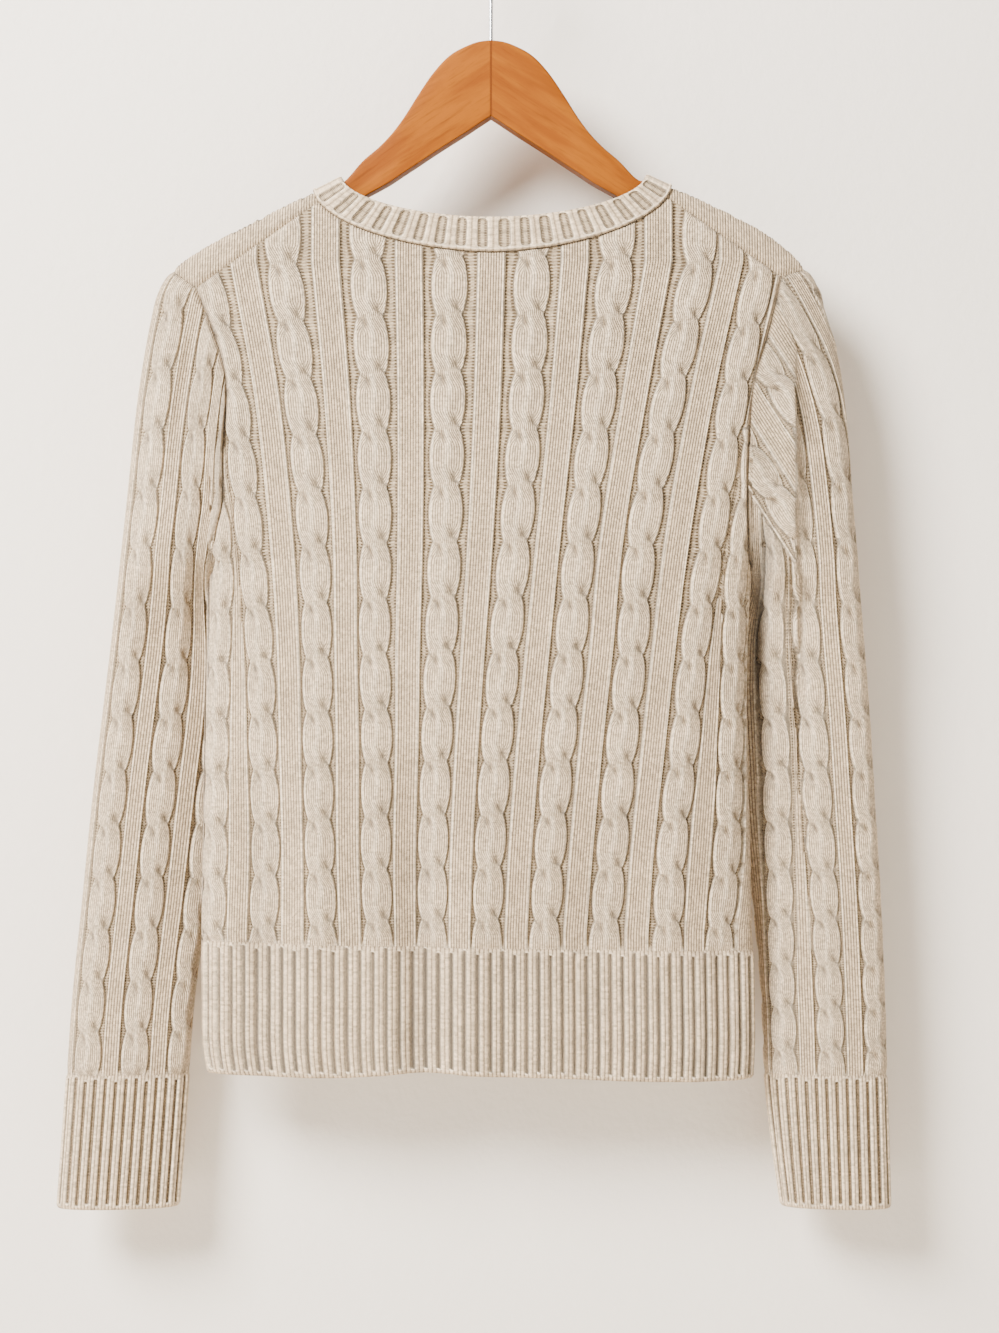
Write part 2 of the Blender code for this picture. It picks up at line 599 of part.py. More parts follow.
def triangulate(points, outline_count, lines, squeeze=1.0):
    """Triangles over the points within the outline that the first of them draw."""
    flat = [(float(u), -float(v) * squeeze) for u, v in points]
    found = delaunay_2d_cdt(flat, lines, [list(range(outline_count))], 1, 1e-5)
    origin = [first[0] if first else None for first in found[3]]
    if None in origin:
        raise ValueError("two lines of the relief cross each other")
    return [[origin[i] for i in face] for face in found[2]]


def draw_in(outline, gap):
    """The outline moved inwards."""
    ahead, behind = np.roll(outline, -1, axis=0) - outline, outline - np.roll(outline, 1, axis=0)
    unit = [run / np.linalg.norm(run, axis=1, keepdims=True) for run in (ahead, behind)]
    across = unit[0] + unit[1]
    across /= np.linalg.norm(across, axis=1, keepdims=True)
    inwards = np.stack([across[:, 1], -across[:, 0]], axis=1)
    area = np.sum(outline[:, 0] * np.roll(outline[:, 1], -1) - np.roll(outline[:, 0], -1) * outline[:, 1])
    return outline + inwards * (-gap if area > 0 else gap)


def stay_on_side(verts, side):
    """Below the armholes a panel's cloth ends just short of the middle plane."""
    low = verts[:, 2] < -SLIT_TOP
    reached = np.maximum(side * verts[:, 1], SEAM_GAP / 2) * side
    return np.column_stack([verts[:, 0], np.where(low, reached, verts[:, 1]), verts[:, 2]])


def shell(name, outline, relief, lines, lining, place, mirrored, joined=(), side=0):
    """A wall over a flat pattern. The relief's points (u, v, height) rise from its outer face, the
    lining's points and lines carry its plain inner face. Pairs of outline points that are joined are
    one point of a tube, and the wall has no end face between them."""
    count = len(outline)
    outer_uv = np.vstack([outline, relief[:, :2]]) if len(relief) else outline
    heights = np.concatenate([np.zeros(count), relief[:, 2]]) if len(relief) else np.zeros(count)
    inner_uv = np.vstack([outline, lining[0][:, :2]])
    on_outer, out = place(outer_uv)
    on_inner, inner_out = place(inner_uv)
    verts = np.vstack([on_outer + out * heights[:, None], on_inner - inner_out * WALL])
    if side:
        verts = stay_on_side(verts, side)
    offset = len(outer_uv)
    same = {b: a for a, b in joined}
    same.update({b + offset: a + offset for a, b in joined})
    skin = triangulate(outer_uv, count, [(a + count, b + count) for a, b in lines])
    back_skin = triangulate(inner_uv, count, [(a + count, b + count) for a, b in lining[1]], 0.5)
    faces = list(skin) + [[i + offset for i in reversed(face)] for face in back_skin]
    area = np.sum(outline[:, 0] * np.roll(outline[:, 1], -1) - np.roll(outline[:, 0], -1) * outline[:, 1])
    seam_points = {i for pair in joined for i in pair}
    for i in range(count):
        j = (i + 1) % count
        if i in seam_points and j in seam_points and outline[i, 0] == outline[j, 0]:
            continue
        quad = [i, j, j + offset, i + offset]
        faces += [[quad[0], quad[1], quad[2]], [quad[0], quad[2], quad[3]]] if area > 0 else [
            [quad[2], quad[1], quad[0]], [quad[3], quad[2], quad[0]]]
    faces = [[same.get(i, i) for i in face] for face in faces]
    if mirrored:
        faces = [face[::-1] for face in faces]
    used = sorted({i for face in faces for i in face})
    order = {old: new for new, old in enumerate(used)}
    return add_object(name, verts[used], [[order[i] for i in face] for face in faces], KNIT_LOOK)


def ribbed_strip(name, marks, rows, heights, place, keep_each, closed, side=0):
    """A ribbed wall: outer points at every mark of each row, inner points at every few marks."""
    columns, count = len(marks), len(rows)
    grid = np.array([(mark, row) for row in rows for mark in marks])
    on_cloth, out = place(grid)
    outer = on_cloth + out * heights.reshape(-1)[:, None]
    kept = list(range(0, columns, keep_each))
    if not closed and kept[-1] != columns - 1:
        kept.append(columns - 1)
    inner_index = [r * columns + c for r in range(count) for c in kept]
    inner = on_cloth[inner_index] - out[inner_index] * WALL
    offset, width = len(outer), len(kept)
    faces = []

    def out_at(r, c):
        return r * columns + c % columns

    def in_at(r, k):
        return offset + r * width + k % width

    spans = columns if closed else columns - 1
    for r in range(count - 1):
        for c in range(spans):
            a, b, d, e = out_at(r, c), out_at(r, c + 1), out_at(r + 1, c + 1), out_at(r + 1, c)
            faces += [[a, e, d], [a, d, b]]
        for k in range(width if closed else width - 1):
            a, b, d, e = in_at(r, k), in_at(r, k + 1), in_at(r + 1, k + 1), in_at(r + 1, k)
            faces += [[a, d, e], [a, b, d]]
    for r, turned in ((0, False), (count - 1, True)):
        for k in range(width if closed else width - 1):
            first = kept[k]
            last = kept[k + 1] if k + 1 < width else columns
            middle = (first + last) // 2
            ends = [[out_at(r, middle), in_at(r, k + 1), in_at(r, k)]]
            for c in range(first, last):
                ends.append([out_at(r, c), out_at(r, c + 1), in_at(r, k if c < middle else k + 1)])
            faces += [end[::-1] for end in ends] if turned else ends
    if not closed:
        for r in range(count - 1):
            for c, k, turned in ((0, 0, False), (columns - 1, width - 1, True)):
                a, b, d, e = out_at(r, c), out_at(r + 1, c), in_at(r + 1, k), in_at(r, k)
                end = [[a, d, b], [a, e, d]]
                faces += [face[::-1] for face in end] if turned else end
    verts = np.vstack([outer, inner])
    return add_object(name, stay_on_side(verts, side) if side else verts, faces, KNIT_LOOK)


# ---- Relief of the cables


def spine_along(k, drop):
    """Distance along the body's cloth of a cable's middle line."""
    rows = [Reach(d, x, 0) for d, x in zip(SPINE_DROPS, BODY_SPINES[k])]
    return along_of(float(smooth(rows, "left", drop)), drop)


def cable_rows(middle, half, crossings, hand):
    """Relief of one cable: three rows of points a repeat, and the lines that follow its strands."""
    points, lines = [], []
    edge = {"left": None, "right": None}
    strand = None
    for top, bottom in zip(crossings[:-1], crossings[1:]):
        for phase in (0.0, 1 / 3, 2 / 3):
            drop = top + (bottom - top) * phase
            centre, wide = middle(drop), half(drop)
            start = len(points)
            if phase == 0:
                marks = [(-CABLE_WAIST, 0), (CABLE_WAIST, 0)]
            elif phase < 0.5:
                marks = [(-1, 0), (-0.4, CABLE_LOW), (0.5, CABLE_HIGH), (1, 0)]
            else:
                marks = [(-1, 0), (-0.5, CABLE_HIGH), (0.4, CABLE_LOW), (1, 0)]
            if hand < 0:
                marks = [(-share, height) for share, height in reversed(marks)]
            points += [(centre + share * wide, drop, height) for share, height in marks]
            last = len(points) - 1
            if edge["left"] is not None:
                lines += [(edge["left"], start), (edge["right"], last)]
            edge = {"left": start, "right": last}
            if phase > 0:
                high = start + max(range(len(marks)), key=lambda m: marks[m][1])
                if strand is not None and phase < 0.5:
                    lines.append((strand, high))
                strand = high
    return points, lines


def panel_rows(middle, half, crossings):
    """Relief of the flat ribbed panel between two cables: two raised lines."""
    points, lines = [], []
    begun = False
    for top, bottom in zip(crossings[:-1], crossings[1:]):
        drop = (top + bottom) / 2
        centre, wide = middle(drop), half(drop)
        if wide < PANEL_LEAST:
            begun = False
            continue
        points += [(centre - wide, drop, PANEL_HIGH), (centre + wide, drop, PANEL_HIGH)]
        if begun:
            lines += [(len(points) - 4, len(points) - 2), (len(points) - 3, len(points) - 1)]
        begun = True
    return points, lines


def keep_clear(groups, outline, least=CLEAR_OF_EDGE):
    """The groups' points that lie well inside the outline, with the lines between them."""
    points, lines = [], []
    for group, joins in groups:
        group = np.array(group)
        room = np.where(inside(group[:, :2], outline), clearance(group[:, :2], outline), 0)
        new = {}
        for i in np.flatnonzero(room > least):
            new[i] = len(points)
            points.append(group[i])
        safe = room > 2 * least
        lines += [(new[a], new[b]) for a, b in joins if a in new and b in new and safe[a] and safe[b]]
    return np.array(points), lines


def merge(first, second):
    """Two sets of points and lines as one."""
    shift = len(first[0])
    return np.vstack([first[0], second[0]]), first[1] + [(a + shift, b + shift) for a, b in second[1]]


def only(points, lines, wanted):
    """The wanted points, with the lines between them."""
    new = np.cumsum(wanted) - 1
    return points[wanted], [(int(new[a]), int(new[b])) for a, b in lines if wanted[a] and wanted[b]]


def clear_of(points, others):
    """Distance of each point from the nearest of the others."""
    return np.linalg.norm(points[:, None, :2] - others[None, :, :2], axis=2).min(axis=1)


def body_crossings(x_middle):
    rows = np.arange(-2, 14)
    drops = CROSSING_FIRST + CROSSING_STEP * rows - CROSSING_CLOSING * rows**2
    return [float(d + CROSSING_SAG * x_middle(d) ** 2) for d in drops]


def body_relief(outline, side):
    groups = []
    count = len(BODY_SPINES)

    def spacing(k, drop):
        near = [abs(spine_along(j, drop) - spine_along(k, drop)) for j in (k - 1, k + 1) if 0 <= j < count]
        return sum(near) / len(near)

    for k in range(count):
        middle = lambda drop, k=k: spine_along(k, drop)
        half = lambda drop, k=k: CABLE_HALF + CABLE_GROWTH * (spacing(k, drop) - USUAL_SPACING)
        groups.append(cable_rows(middle, half, body_crossings(middle), -side))
    for k in range(count - 1):
        middle = lambda drop, k=k: (spine_along(k, drop) + spine_along(k + 1, drop)) / 2
        gap = lambda drop, k=k: spine_along(k + 1, drop) - spine_along(k, drop)
        half = lambda drop, gap=gap: min(PANEL_HALF + PANEL_GROWTH * (gap(drop) - USUAL_SPACING),
                                         gap(drop) / 2 - CABLE_HALF - 1.2)
        groups.append(panel_rows(middle, half, body_crossings(middle)))
    return keep_clear(groups, outline)


def sleeve_relief(name, outline):
    """Cables stand evenly round the sleeve, with a line of points down its outer edge."""
    girth, hand = SLEEVE_GIRTH, -1 if name == "left" else 1
    step = girth / SLEEVE_CABLES
    crossings = [CUFF_TOP - 6 - SLEEVE_CROSSING_STEP * i for i in range(16)][::-1]

    def lean(drop):
        above = max(0, SLEEVE_LEAN_FROM - drop) / 100
        return -SLEEVE_LEAN[name] * above**2

    edge = [(girth / 2, float(drop), 0.0) for drop in range(236, 752, 17)]
    groups = [(edge, [(i, i + 1) for i in range(len(edge) - 1)])]
    for k in range(SLEEVE_CABLES):
        middle = lambda drop, at=SLEEVE_FIRST[name] + k * step: at + lean(drop)
        groups.append(cable_rows(middle, lambda drop: SLEEVE_CABLE_HALF, crossings, hand))
    for k in range(SLEEVE_CABLES - 1):
        middle = lambda drop, at=SLEEVE_FIRST[name] + (k + 0.5) * step: at + lean(drop)
        groups.append(panel_rows(middle, lambda drop: SLEEVE_PANEL_HALF, crossings))
    points, lines = keep_clear(groups, outline)
    on_edge = points[:, 0] == girth / 2
    safe = on_edge | (np.abs(points[:, 0] - girth / 2) > EDGE_ROOM)
    gathered = np.minimum(points[:, 0], girth - points[:, 0]) < GATHERED_ROOM
    safe &= ~gathered | (points[:, 1] > UNDERARM[name][1] + GATHERED_DOWN)
    side = np.sign(points[:, 0] - girth / 2)
    return only(points, [(a, b) for a, b in lines if side[a] == side[b]], safe)


# ---- Pieces


def hem_top(x):
    return HEM_TOP + HEM_TILT * x


def shoulder_seam(name, side):
    """Inner points of the shoulder seam, from the neck to the armhole."""
    sign = -1 if name == "left" else 1
    corner = neck_seam(BACK)[0 if name == "left" else -1]
    reach, drop = armhole_points(name)[ARMHOLE_STEPS]
    points = []
    for i in range(1, SHOULDER_STEPS):
        t = i / SHOULDER_STEPS
        x, at = corner[0] * (1 - t) + sign * reach * t, corner[1] * (1 - t) + drop * t
        points.append((x, at if side == BACK else float(2 * ridge(x) - at)))
    return points


def panel_half_outline(name, side):
    """Edge of a panel from its hem up one side to its neck, as (distance along, drop)."""
    sign = -1 if name == "left" else 1
    underarm = UNDERARM[name][1]
    seam = armhole_points(name)
    bottom = float(hem_top(sign * smooth(BODY, name, HEM_TOP)))
    points = []
    for i in range(SIDE_STEPS):
        drop = bottom + (underarm - bottom) * i / SIDE_STEPS
        points.append((sign * float(half_girth(name, drop)), drop))
    last = ARMHOLE_STEPS if side == BACK else len(seam) - 1
    points += [(along_of(sign * reach, drop), drop) for reach, drop in seam[: last + 1]]
    if side == FRONT:
        for reach, drop in seam[-2 : ARMHOLE_STEPS - 1 : -1]:
            points.append((sign * reach, float(2 * ridge(sign * reach) - drop)))
    return points + shoulder_seam(name, side)[::-1]


def fold_marks(name, spacing):
    """x of points spaced along the shoulder's fold, from the neckband to the sleeve."""
    sign = -1 if name == "left" else 1
    x = np.linspace(getattr(NECK_OUTER, name), armhole_points(name)[-1, 0], 300)
    length = np.concatenate([[0], np.cumsum(np.hypot(np.diff(x), np.diff(ridge(sign * x))))])
    count = int(length[-1] / spacing)
    return [sign * float(np.interp(length[-1] * i / count, length, x)) for i in range(1, count)]


def fold_group(lifts):
    """Points along and beside both shoulders' folds, with a line along each fold."""
    points, lines = [], []
    middle, step = lifts.index(0), len(lifts)
    for name in ("left", "right"):
        marks = fold_marks(name, FOLD_SPACING)
        first = len(points) + middle
        points += [(x, float(ridge(x)) + lift, 0.0) for x in marks for lift in lifts]
        lines += [(first + i * step, first + (i + 1) * step) for i in range(len(marks) - 1)]
    return points, lines


def panel(name, side):
    left, right = panel_half_outline("left", side), panel_half_outline("right", side)
    hem = []
    start, end = right[0][0], left[0][0]
    for i in range(1, HEM_STEPS):
        along = start + (end - start) * i / HEM_STEPS
        x = float(x_and_depth(along, HEM_TOP)[0])
        hem.append((along, float(hem_top(x))))
    outline = np.array(left + list(neck_seam(side)) + right[::-1] + hem)
    outline = draw_in(outline, SEAM_GAP / 2)
    relief, lines = body_relief(outline, side)
    columns, rows = range(-180, 181, LINING_STEP), range(225, 660, LINING_STEP)
    grid = [(along, drop, 0.0) for drop in rows for along in columns]
    lining = keep_clear([(grid, [])], outline, LINING_ROOM)
    if side == FRONT:
        fold = keep_clear([fold_group(FOLD_LIFTS)], outline, FOLD_ROOM)
        lapped = (relief[:, 1] < ridge(relief[:, 0]) + LAP_ROOM) & (np.abs(relief[:, 0]) > NECK_OUTER.left)
        apart = ~lapped & (clear_of(relief, fold[0]) > FOLD_CLEAR)
        relief, lines = merge(fold, only(relief, lines, apart))
        fold = keep_clear([fold_group(FOLD_LIFTS_INSIDE)], outline, FOLD_ROOM)
        lining = merge(fold, only(*lining, clear_of(lining[0], fold[0]) > FOLD_CLEAR))
    place = lambda points: body_place(points, side)
    return shell(name, outline, relief, lines, lining, place, side == FRONT, (), side)


def sleeve(node, name):
    girth, underarm = SLEEVE_GIRTH, float(UNDERARM[name][1])
    seam = armhole_points(name, SEAM_GAP / 2)
    cap = [(0.0, underarm)]
    for reach, drop in seam[1:-1]:
        cap.append((armhole_round(name, reach, drop) if drop < ARMHOLE_TURN else 0.0, drop))
    cap.append((girth / 2, float(seam[-1, 1])))
    cap += [(girth - u, v) for u, v in cap[-2::-1]]
    down = [underarm + (CUFF_TOP - underarm) * i / TUBE_ROWS for i in range(1, TUBE_ROWS)]
    down.append(CUFF_TOP - SEAM_GAP / 2)
    bottom = [(girth * (1 - i / TUBE_COLUMNS), down[-1]) for i in range(1, TUBE_COLUMNS)]
    right = [(float(girth), v) for v in down]
    left = [(0.0, v) for v in down[::-1]]
    outline = np.array(cap + right + bottom + left)
    right_start = len(cap)
    left_start = right_start + len(right) + len(bottom)
    joined = [(0, len(cap) - 1)]
    joined += [(left_start + TUBE_ROWS - 1 - i, right_start + i) for i in range(TUBE_ROWS)]
    relief, lines = sleeve_relief(name, outline)
    columns = [*np.arange(0.5, 12), 5.8, 6.2]
    grid = [(girth * i / 12, drop, 0.0) for drop in range(250, 750, LINING_STEP - 2) for i in columns]
    lining = keep_clear([(grid, [])], outline, TUBE_LINING_ROOM)
    place = lambda points: sleeve_place(name, points)
    return shell(node, outline, relief, lines, lining, place, name == "left", joined)


def hem_band(name, side):
    """The rib under a panel. Its rows run from the panel's edge to the hem's wavy lower edge."""
    marks = np.linspace(-1, 1, 2 * HEM_RIB.count + 1)

    def place(points):
        share, row = points[:, 0], points[:, 1]
        girth = np.where(share < 0, half_girth("left", HEM_TOP), half_girth("right", HEM_TOP))
        x = x_and_depth(share * girth, np.full(len(share), HEM_TOP))[0]
        top = hem_top(x) + SEAM_GAP / 2
        bottom = HEM_BOTTOM + HEM_WAVE * np.cos(2 * np.pi * (x - HEM_WAVE_AT) / HEM_WAVE_LENGTH)
        drop = top * (1 - row) + bottom * row
        edge = np.where(share < 0, half_girth("left", drop), half_girth("right", drop))
        along = share * (edge - SEAM_GAP / 2)
        return body_place(np.stack([along, drop], axis=1), side)

    rows = [0, 0.06, 0.7, 1]
    crest = np.where(np.arange(len(marks)) % 2 == 1, HEM_RIB.height, 0.0)
    heights = np.array([crest * 0.5, crest, crest, crest])
    strip = ribbed_strip(name, marks, rows, heights, place, 4, False, side)
    if side == FRONT:
        strip.data.flip_normals()
    return strip


def cuff(node, name):
    marks = np.arange(2 * CUFF_RIB.count) / (2 * CUFF_RIB.count)

    def place(points):
        drop = CUFF_TOP + SEAM_GAP / 2 + (CUFF_BOTTOM - CUFF_TOP - SEAM_GAP / 2) * points[:, 1]
        return sleeve_place(name, np.stack([points[:, 0] * SLEEVE_GIRTH, drop], axis=1))

    rows = [0, 0.06, 0.7, 1]
    crest = np.where(np.arange(len(marks)) % 2 == 1, CUFF_RIB.height, 0.0)
    heights = np.array([crest * 0.5, crest, crest, crest])
    strip = ribbed_strip(node, marks, rows, heights, place, 4, True)
    if name == "left":
        strip.data.flip_normals()
    return strip


def neckband():
    angles = neck_angles()
    rib = np.array([1, 1, 0, 0] * NECK_RIB.count) * NECK_RIB.height
    height = NECK_OUTER.back - NECK_INNER.back
    rows = [SEAM_GAP / 2 / height, 0.12, 1]
    heights = np.array([rib * 0, rib, rib])
    strip = ribbed_strip("neckband", angles, rows, heights, band_place, 2, True)
    strip.data.flip_normals()
    return strip


def hanger_arm(node, name):
    sign = -1 if name == "left" else 1
    stations = list(HANGER_SHOWN)
    neck_reach = getattr(NECK_INNER, name)
    for row in HANGER_HIDDEN:
        top = float(ridge(sign * max(row.reach, neck_reach))) + WALL + row.top
        stations.append(row._replace(top=top))
    verts, faces = [], []
    for row in stations:
        half = row.thickness / 2
        top, bottom = row.top, row.top + row.height
        upper = [(y * half, top + drop * half) for y, drop in HANGER_CORNER]
        lower = [(y * half, bottom - drop * half) for y, drop in HANGER_CORNER[::-1]]
        right = upper + lower
        ring = right + [(-y, drop) for y, drop in right[-2:0:-1]]
        verts += [(sign * row.reach, y, -drop) for y, drop in ring]
    size = len(ring)
    for s in range(len(stations) - 1):
        for i in range(size):
            j = (i + 1) % size
            a, b = s * size + i, s * size + j
            faces += [[a, b, b + size], [a, b + size, a + size]]
    faces += [[0, i + 1, i] for i in range(1, size - 1)]
    end = (len(stations) - 1) * size
    faces += [[end, end + i, end + i + 1] for i in range(1, size - 1)]
    if sign > 0:
        faces = [face[::-1] for face in faces]
    return add_object(node, np.array(verts, float), faces, WOOD_LOOK)


def hook():
    """Round wire: a straight stem, an easy bend, and an open round hook whose inside top is the seat."""
    radius = (HOOK_BORE + HOOK_WIRE) / 2
    centre = HOOK_BORE / 2
    turn = np.radians(np.linspace(*HOOK_TURN, HOOK_POINTS - 6))
    route = [(radius * np.cos(t), centre - radius * np.sin(t)) for t in turn]
    start, aim = np.array([0.0, HOOK_STEM_TOP]), np.array(route[0])
    leave = np.array([0.0, -9.0])
    arrive = np.array([-np.sin(turn[0]), -np.cos(turn[0])]) * 9.0
    bend = []
    for t in (0.25, 0.5, 0.75):
        bend.append((2 * t**3 - 3 * t**2 + 1) * start + (t**3 - 2 * t**2 + t) * leave
                    + (3 * t**2 - 2 * t**3) * aim + (t**3 - t**2) * arrive)
    stem = [(0.0, HANGER_SHOWN[0].top - SEAM_GAP), (0.0, 62.0), tuple(start)]
    track = stem + [tuple(p) for p in bend] + route
    data = bpy.data.curves.new("hook", "CURVE")
    data.dimensions = "3D"
    data.bevel_depth = HOOK_WIRE / 2 * MM
    data.bevel_resolution = 2
    data.use_fill_caps = True
    spline = data.splines.new("POLY")
    spline.points.add(len(track) - 1)
    for point, (x, drop) in zip(spline.points, track):
        point.co = (x * MM, 0, -drop * MM, 1)
    data.materials.append(material(*WIRE_LOOK))
    wire = bpy.data.objects.new("hook", data)
    bpy.context.scene.collection.objects.link(wire)
    return wire


def main():
    for thing in list(bpy.data.objects):
        bpy.data.objects.remove(thing)
    panel("back", BACK)
    panel("front", FRONT)
    sleeve("sleeve_left", "left")
    sleeve("sleeve_right", "right")
    hem_band("hem_back", BACK)
    hem_band("hem_front", FRONT)
    cuff("cuff_left", "left")
    cuff("cuff_right", "right")
    neckband()
    hanger_arm("hanger_arm_left", "left")
    hanger_arm("hanger_arm_right", "right")
    hook()


main()
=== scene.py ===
import math
from collections import namedtuple
from functools import lru_cache

import bpy
import numpy as np
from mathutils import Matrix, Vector, kdtree
from mathutils.geometry import delaunay_2d_cdt


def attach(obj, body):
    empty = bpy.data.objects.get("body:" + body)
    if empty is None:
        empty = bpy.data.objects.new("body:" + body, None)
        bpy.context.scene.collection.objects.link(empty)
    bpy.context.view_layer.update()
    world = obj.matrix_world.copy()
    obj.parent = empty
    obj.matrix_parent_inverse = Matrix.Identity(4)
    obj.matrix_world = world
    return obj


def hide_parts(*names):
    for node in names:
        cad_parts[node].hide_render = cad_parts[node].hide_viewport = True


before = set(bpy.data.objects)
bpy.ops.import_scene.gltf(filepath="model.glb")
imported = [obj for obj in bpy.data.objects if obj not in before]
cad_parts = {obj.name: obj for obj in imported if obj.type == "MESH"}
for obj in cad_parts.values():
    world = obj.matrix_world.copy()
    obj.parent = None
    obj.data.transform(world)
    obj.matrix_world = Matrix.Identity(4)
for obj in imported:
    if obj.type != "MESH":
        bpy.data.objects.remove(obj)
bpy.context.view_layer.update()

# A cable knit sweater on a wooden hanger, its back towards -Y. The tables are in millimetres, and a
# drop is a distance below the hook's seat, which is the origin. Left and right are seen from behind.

mm = 0.001
back, front = -1, 1

# The camera comes first; the stage and the lights are near the end
view = {"x": 0.0056, "distance": 1.7, "z": -0.4872, "lens": 69.56, "sensor": 36}


def addObject(name, data):
    piece = bpy.data.objects.new(name, data)
    bpy.context.scene.collection.objects.link(piece)
    return piece


def makeCamera():
    data = bpy.data.cameras.new("camera")
    data.lens = view["lens"]
    data.sensor_width = view["sensor"]  # the long side's, which stands upright here
    camera = addObject("camera", data)
    camera.location = (view["x"], -view["distance"], view["z"])
    camera.rotation_euler = (math.pi / 2, 0, 0)
    bpy.context.scene.camera = camera


makeCamera()

Reach = namedtuple("Reach", "drop left right")
Section = namedtuple("Section", "drop depth power")

cloth = {
    "wall": 2.2,
    "seamGap": 0.1,
    "armDepthShare": 0.5,  # a sleeve's depth where it parts from the body, as a share of the body's
    "partRise": 85,  # height over which body and sleeve grow together above the underarm
    "partPower": 0.6,
    "slitTop": 408,  # just above the underarms
    "seamDip": 0.5,  # how far the cloth sinks at a seam
    "seamEase": 2.6,  # width over which it does
    "ribMeet": 1.2,  # height of the relief where cables and ribs run into each other
    "ribEase": 5,  # and over which stretch above the ribs it gets there
    "shoulder": (232, 18),  # seams above this drop get hardly any painted shade, and below it it darkens them over this stretch
    "foldsFrom": (440, 60),  # the body's folds start at this drop and take this long to their full height
    "foldsEdge": 25,  # and are lower than that when nearer to its sides than this
}
# Half widths of the whole garment, sleeves included, down to the underarms
cloth["reach"] = [
    Reach(113, 0.0, 0.0),
    Reach(165, 97.7, 104.5),
    Reach(180, 127.5, 138.0),
    Reach(200, 167.5, 177.5),
    Reach(210, 186.0, 191.5),
    Reach(220, 202.0, 202.5),
    Reach(229, 212.0, 209.5),
    Reach(239, 217.8, 213.5),
    Reach(258, 222.5, 219.5),
    Reach(278, 226.4, 225.8),
    Reach(311, 231.5, 231.8),
    Reach(377, 238.6, 236.9),
    Reach(417, 243.0, 240.3),
    Reach(427, 244.1, 240.9),
]
# Half widths of the body alone
cloth["body"] = [
    Reach(417, 183.5, 170.9),
    Reach(430, 184.4, 170.4),
    Reach(470, 185.6, 168.2),
    Reach(509, 186.8, 167.6),
    Reach(575, 187.6, 169.0),
    Reach(641, 188.8, 170.9),
    Reach(707, 188.8, 172.3),
    Reach(738, 188.0, 172.3),
    Reach(760, 184.0, 171.0),
]
# Half depth of the garment, and the power of its sections: 2 is an ellipse, more is boxier
cloth["sections"] = [
    Section(113, 13.0, 3.2),
    Section(165, 13.5, 3.2),
    Section(200, 14.2, 3.2),
    Section(240, 16.5, 2.9),
    Section(300, 21.0, 2.55),
    Section(377, 26.0, 2.45),
    Section(440, 28.5, 2.45),
    Section(520, 29.0, 2.45),
    Section(610, 27.5, 2.45),
    Section(672, 25.5, 2.45),
    Section(760, 27.0, 2.45),
]


# Value of a table's column at these places, on a curve through its rows
def smooth(rows, column, at, by="drop"):
    knots = np.array([getattr(row, by) for row in rows], float)
    values = np.array([getattr(row, column) for row in rows], float)
    slopes = np.diff(values) / np.diff(knots)
    tangents = np.concatenate([slopes[:1], (slopes[1:] + slopes[:-1]) / 2, slopes[-1:]])
    at = np.clip(at, knots[0], knots[-1])
    i = np.clip(np.searchsorted(knots, at, side="right") - 1, 0, len(knots) - 2)
    span = knots[i + 1] - knots[i]
    t = (at - knots[i]) / span
    lead = (1 + 2 * t) * (1 - t) ** 2 * values[i] + t * (1 - t) ** 2 * span * tangents[i]
    return lead + t * t * (3 - 2 * t) * values[i + 1] + t * t * (t - 1) * span * tangents[i + 1]


def sideOf(x):
    return "left" if x < 0 else "right"


def signOf(name):
    return -1 if name == "left" else 1


# Distances along a line of points, from its first one
def lengthAlong(x, y):
    return np.concatenate([[0], np.cumsum(np.hypot(np.diff(x), np.diff(y)))])


def bySide(rows, x, drop):
    return np.where(x < 0, smooth(rows, "left", drop), smooth(rows, "right", drop))


# Height of a section of height 1, from its middle (0) to its edge (1)
def bulge(share, power):
    return np.maximum(1 - np.abs(share) ** power, 0) ** (1 / power)


# Distance of the cloth from the middle plane: the back lies behind by it, the front before
def halfDepth(x, drop):
    x, drop = np.asarray(x, float), np.asarray(drop, float)
    across = np.abs(x)
    underarm = np.where(x < 0, armhole["underarm"]["left"][1], armhole["underarm"]["right"][1])
    wholeReach, bodyReach = bySide(cloth["reach"], x, drop), bySide(cloth["body"], x, drop)
    power = smooth(cloth["sections"], "power", drop)
    apart = 1 - (np.clip(underarm - drop, 0, cloth["partRise"]) / cloth["partRise"]) ** cloth["partPower"]
    whole = bulge(across / wholeReach, power)
    armMiddle, armHalf = (wholeReach + bodyReach) / 2, (wholeReach - bodyReach) / 2
    arm = cloth["armDepthShare"] * bulge((across - armMiddle) / armHalf, power)
    parted = np.where(across < bodyReach, bulge(across / bodyReach, power), arm)
    return smooth(cloth["sections"], "depth", drop) * ((1 - apart) * whole + apart * parted)


# Direction away from the garment's inside, also on its folds, where the depth is 0
def outward(x, drop, side, reach=0.5):
    power = smooth(cloth["sections"], "power", drop)
    depth = halfDepth(x, drop)
    across = halfDepth(x + reach, drop) ** power - halfDepth(x - reach, drop) ** power
    down = halfDepth(x, drop + reach) ** power - halfDepth(x, drop - reach) ** power
    normal = np.stack([-across, side * power * depth ** (power - 1) * 2 * reach, down], axis=-1)
    return normal / np.maximum(np.linalg.norm(normal, axis=-1, keepdims=True), 1e-9)


Fold = namedtuple("Fold", "x drop toX toDrop width height farWidth", defaults=(None,))
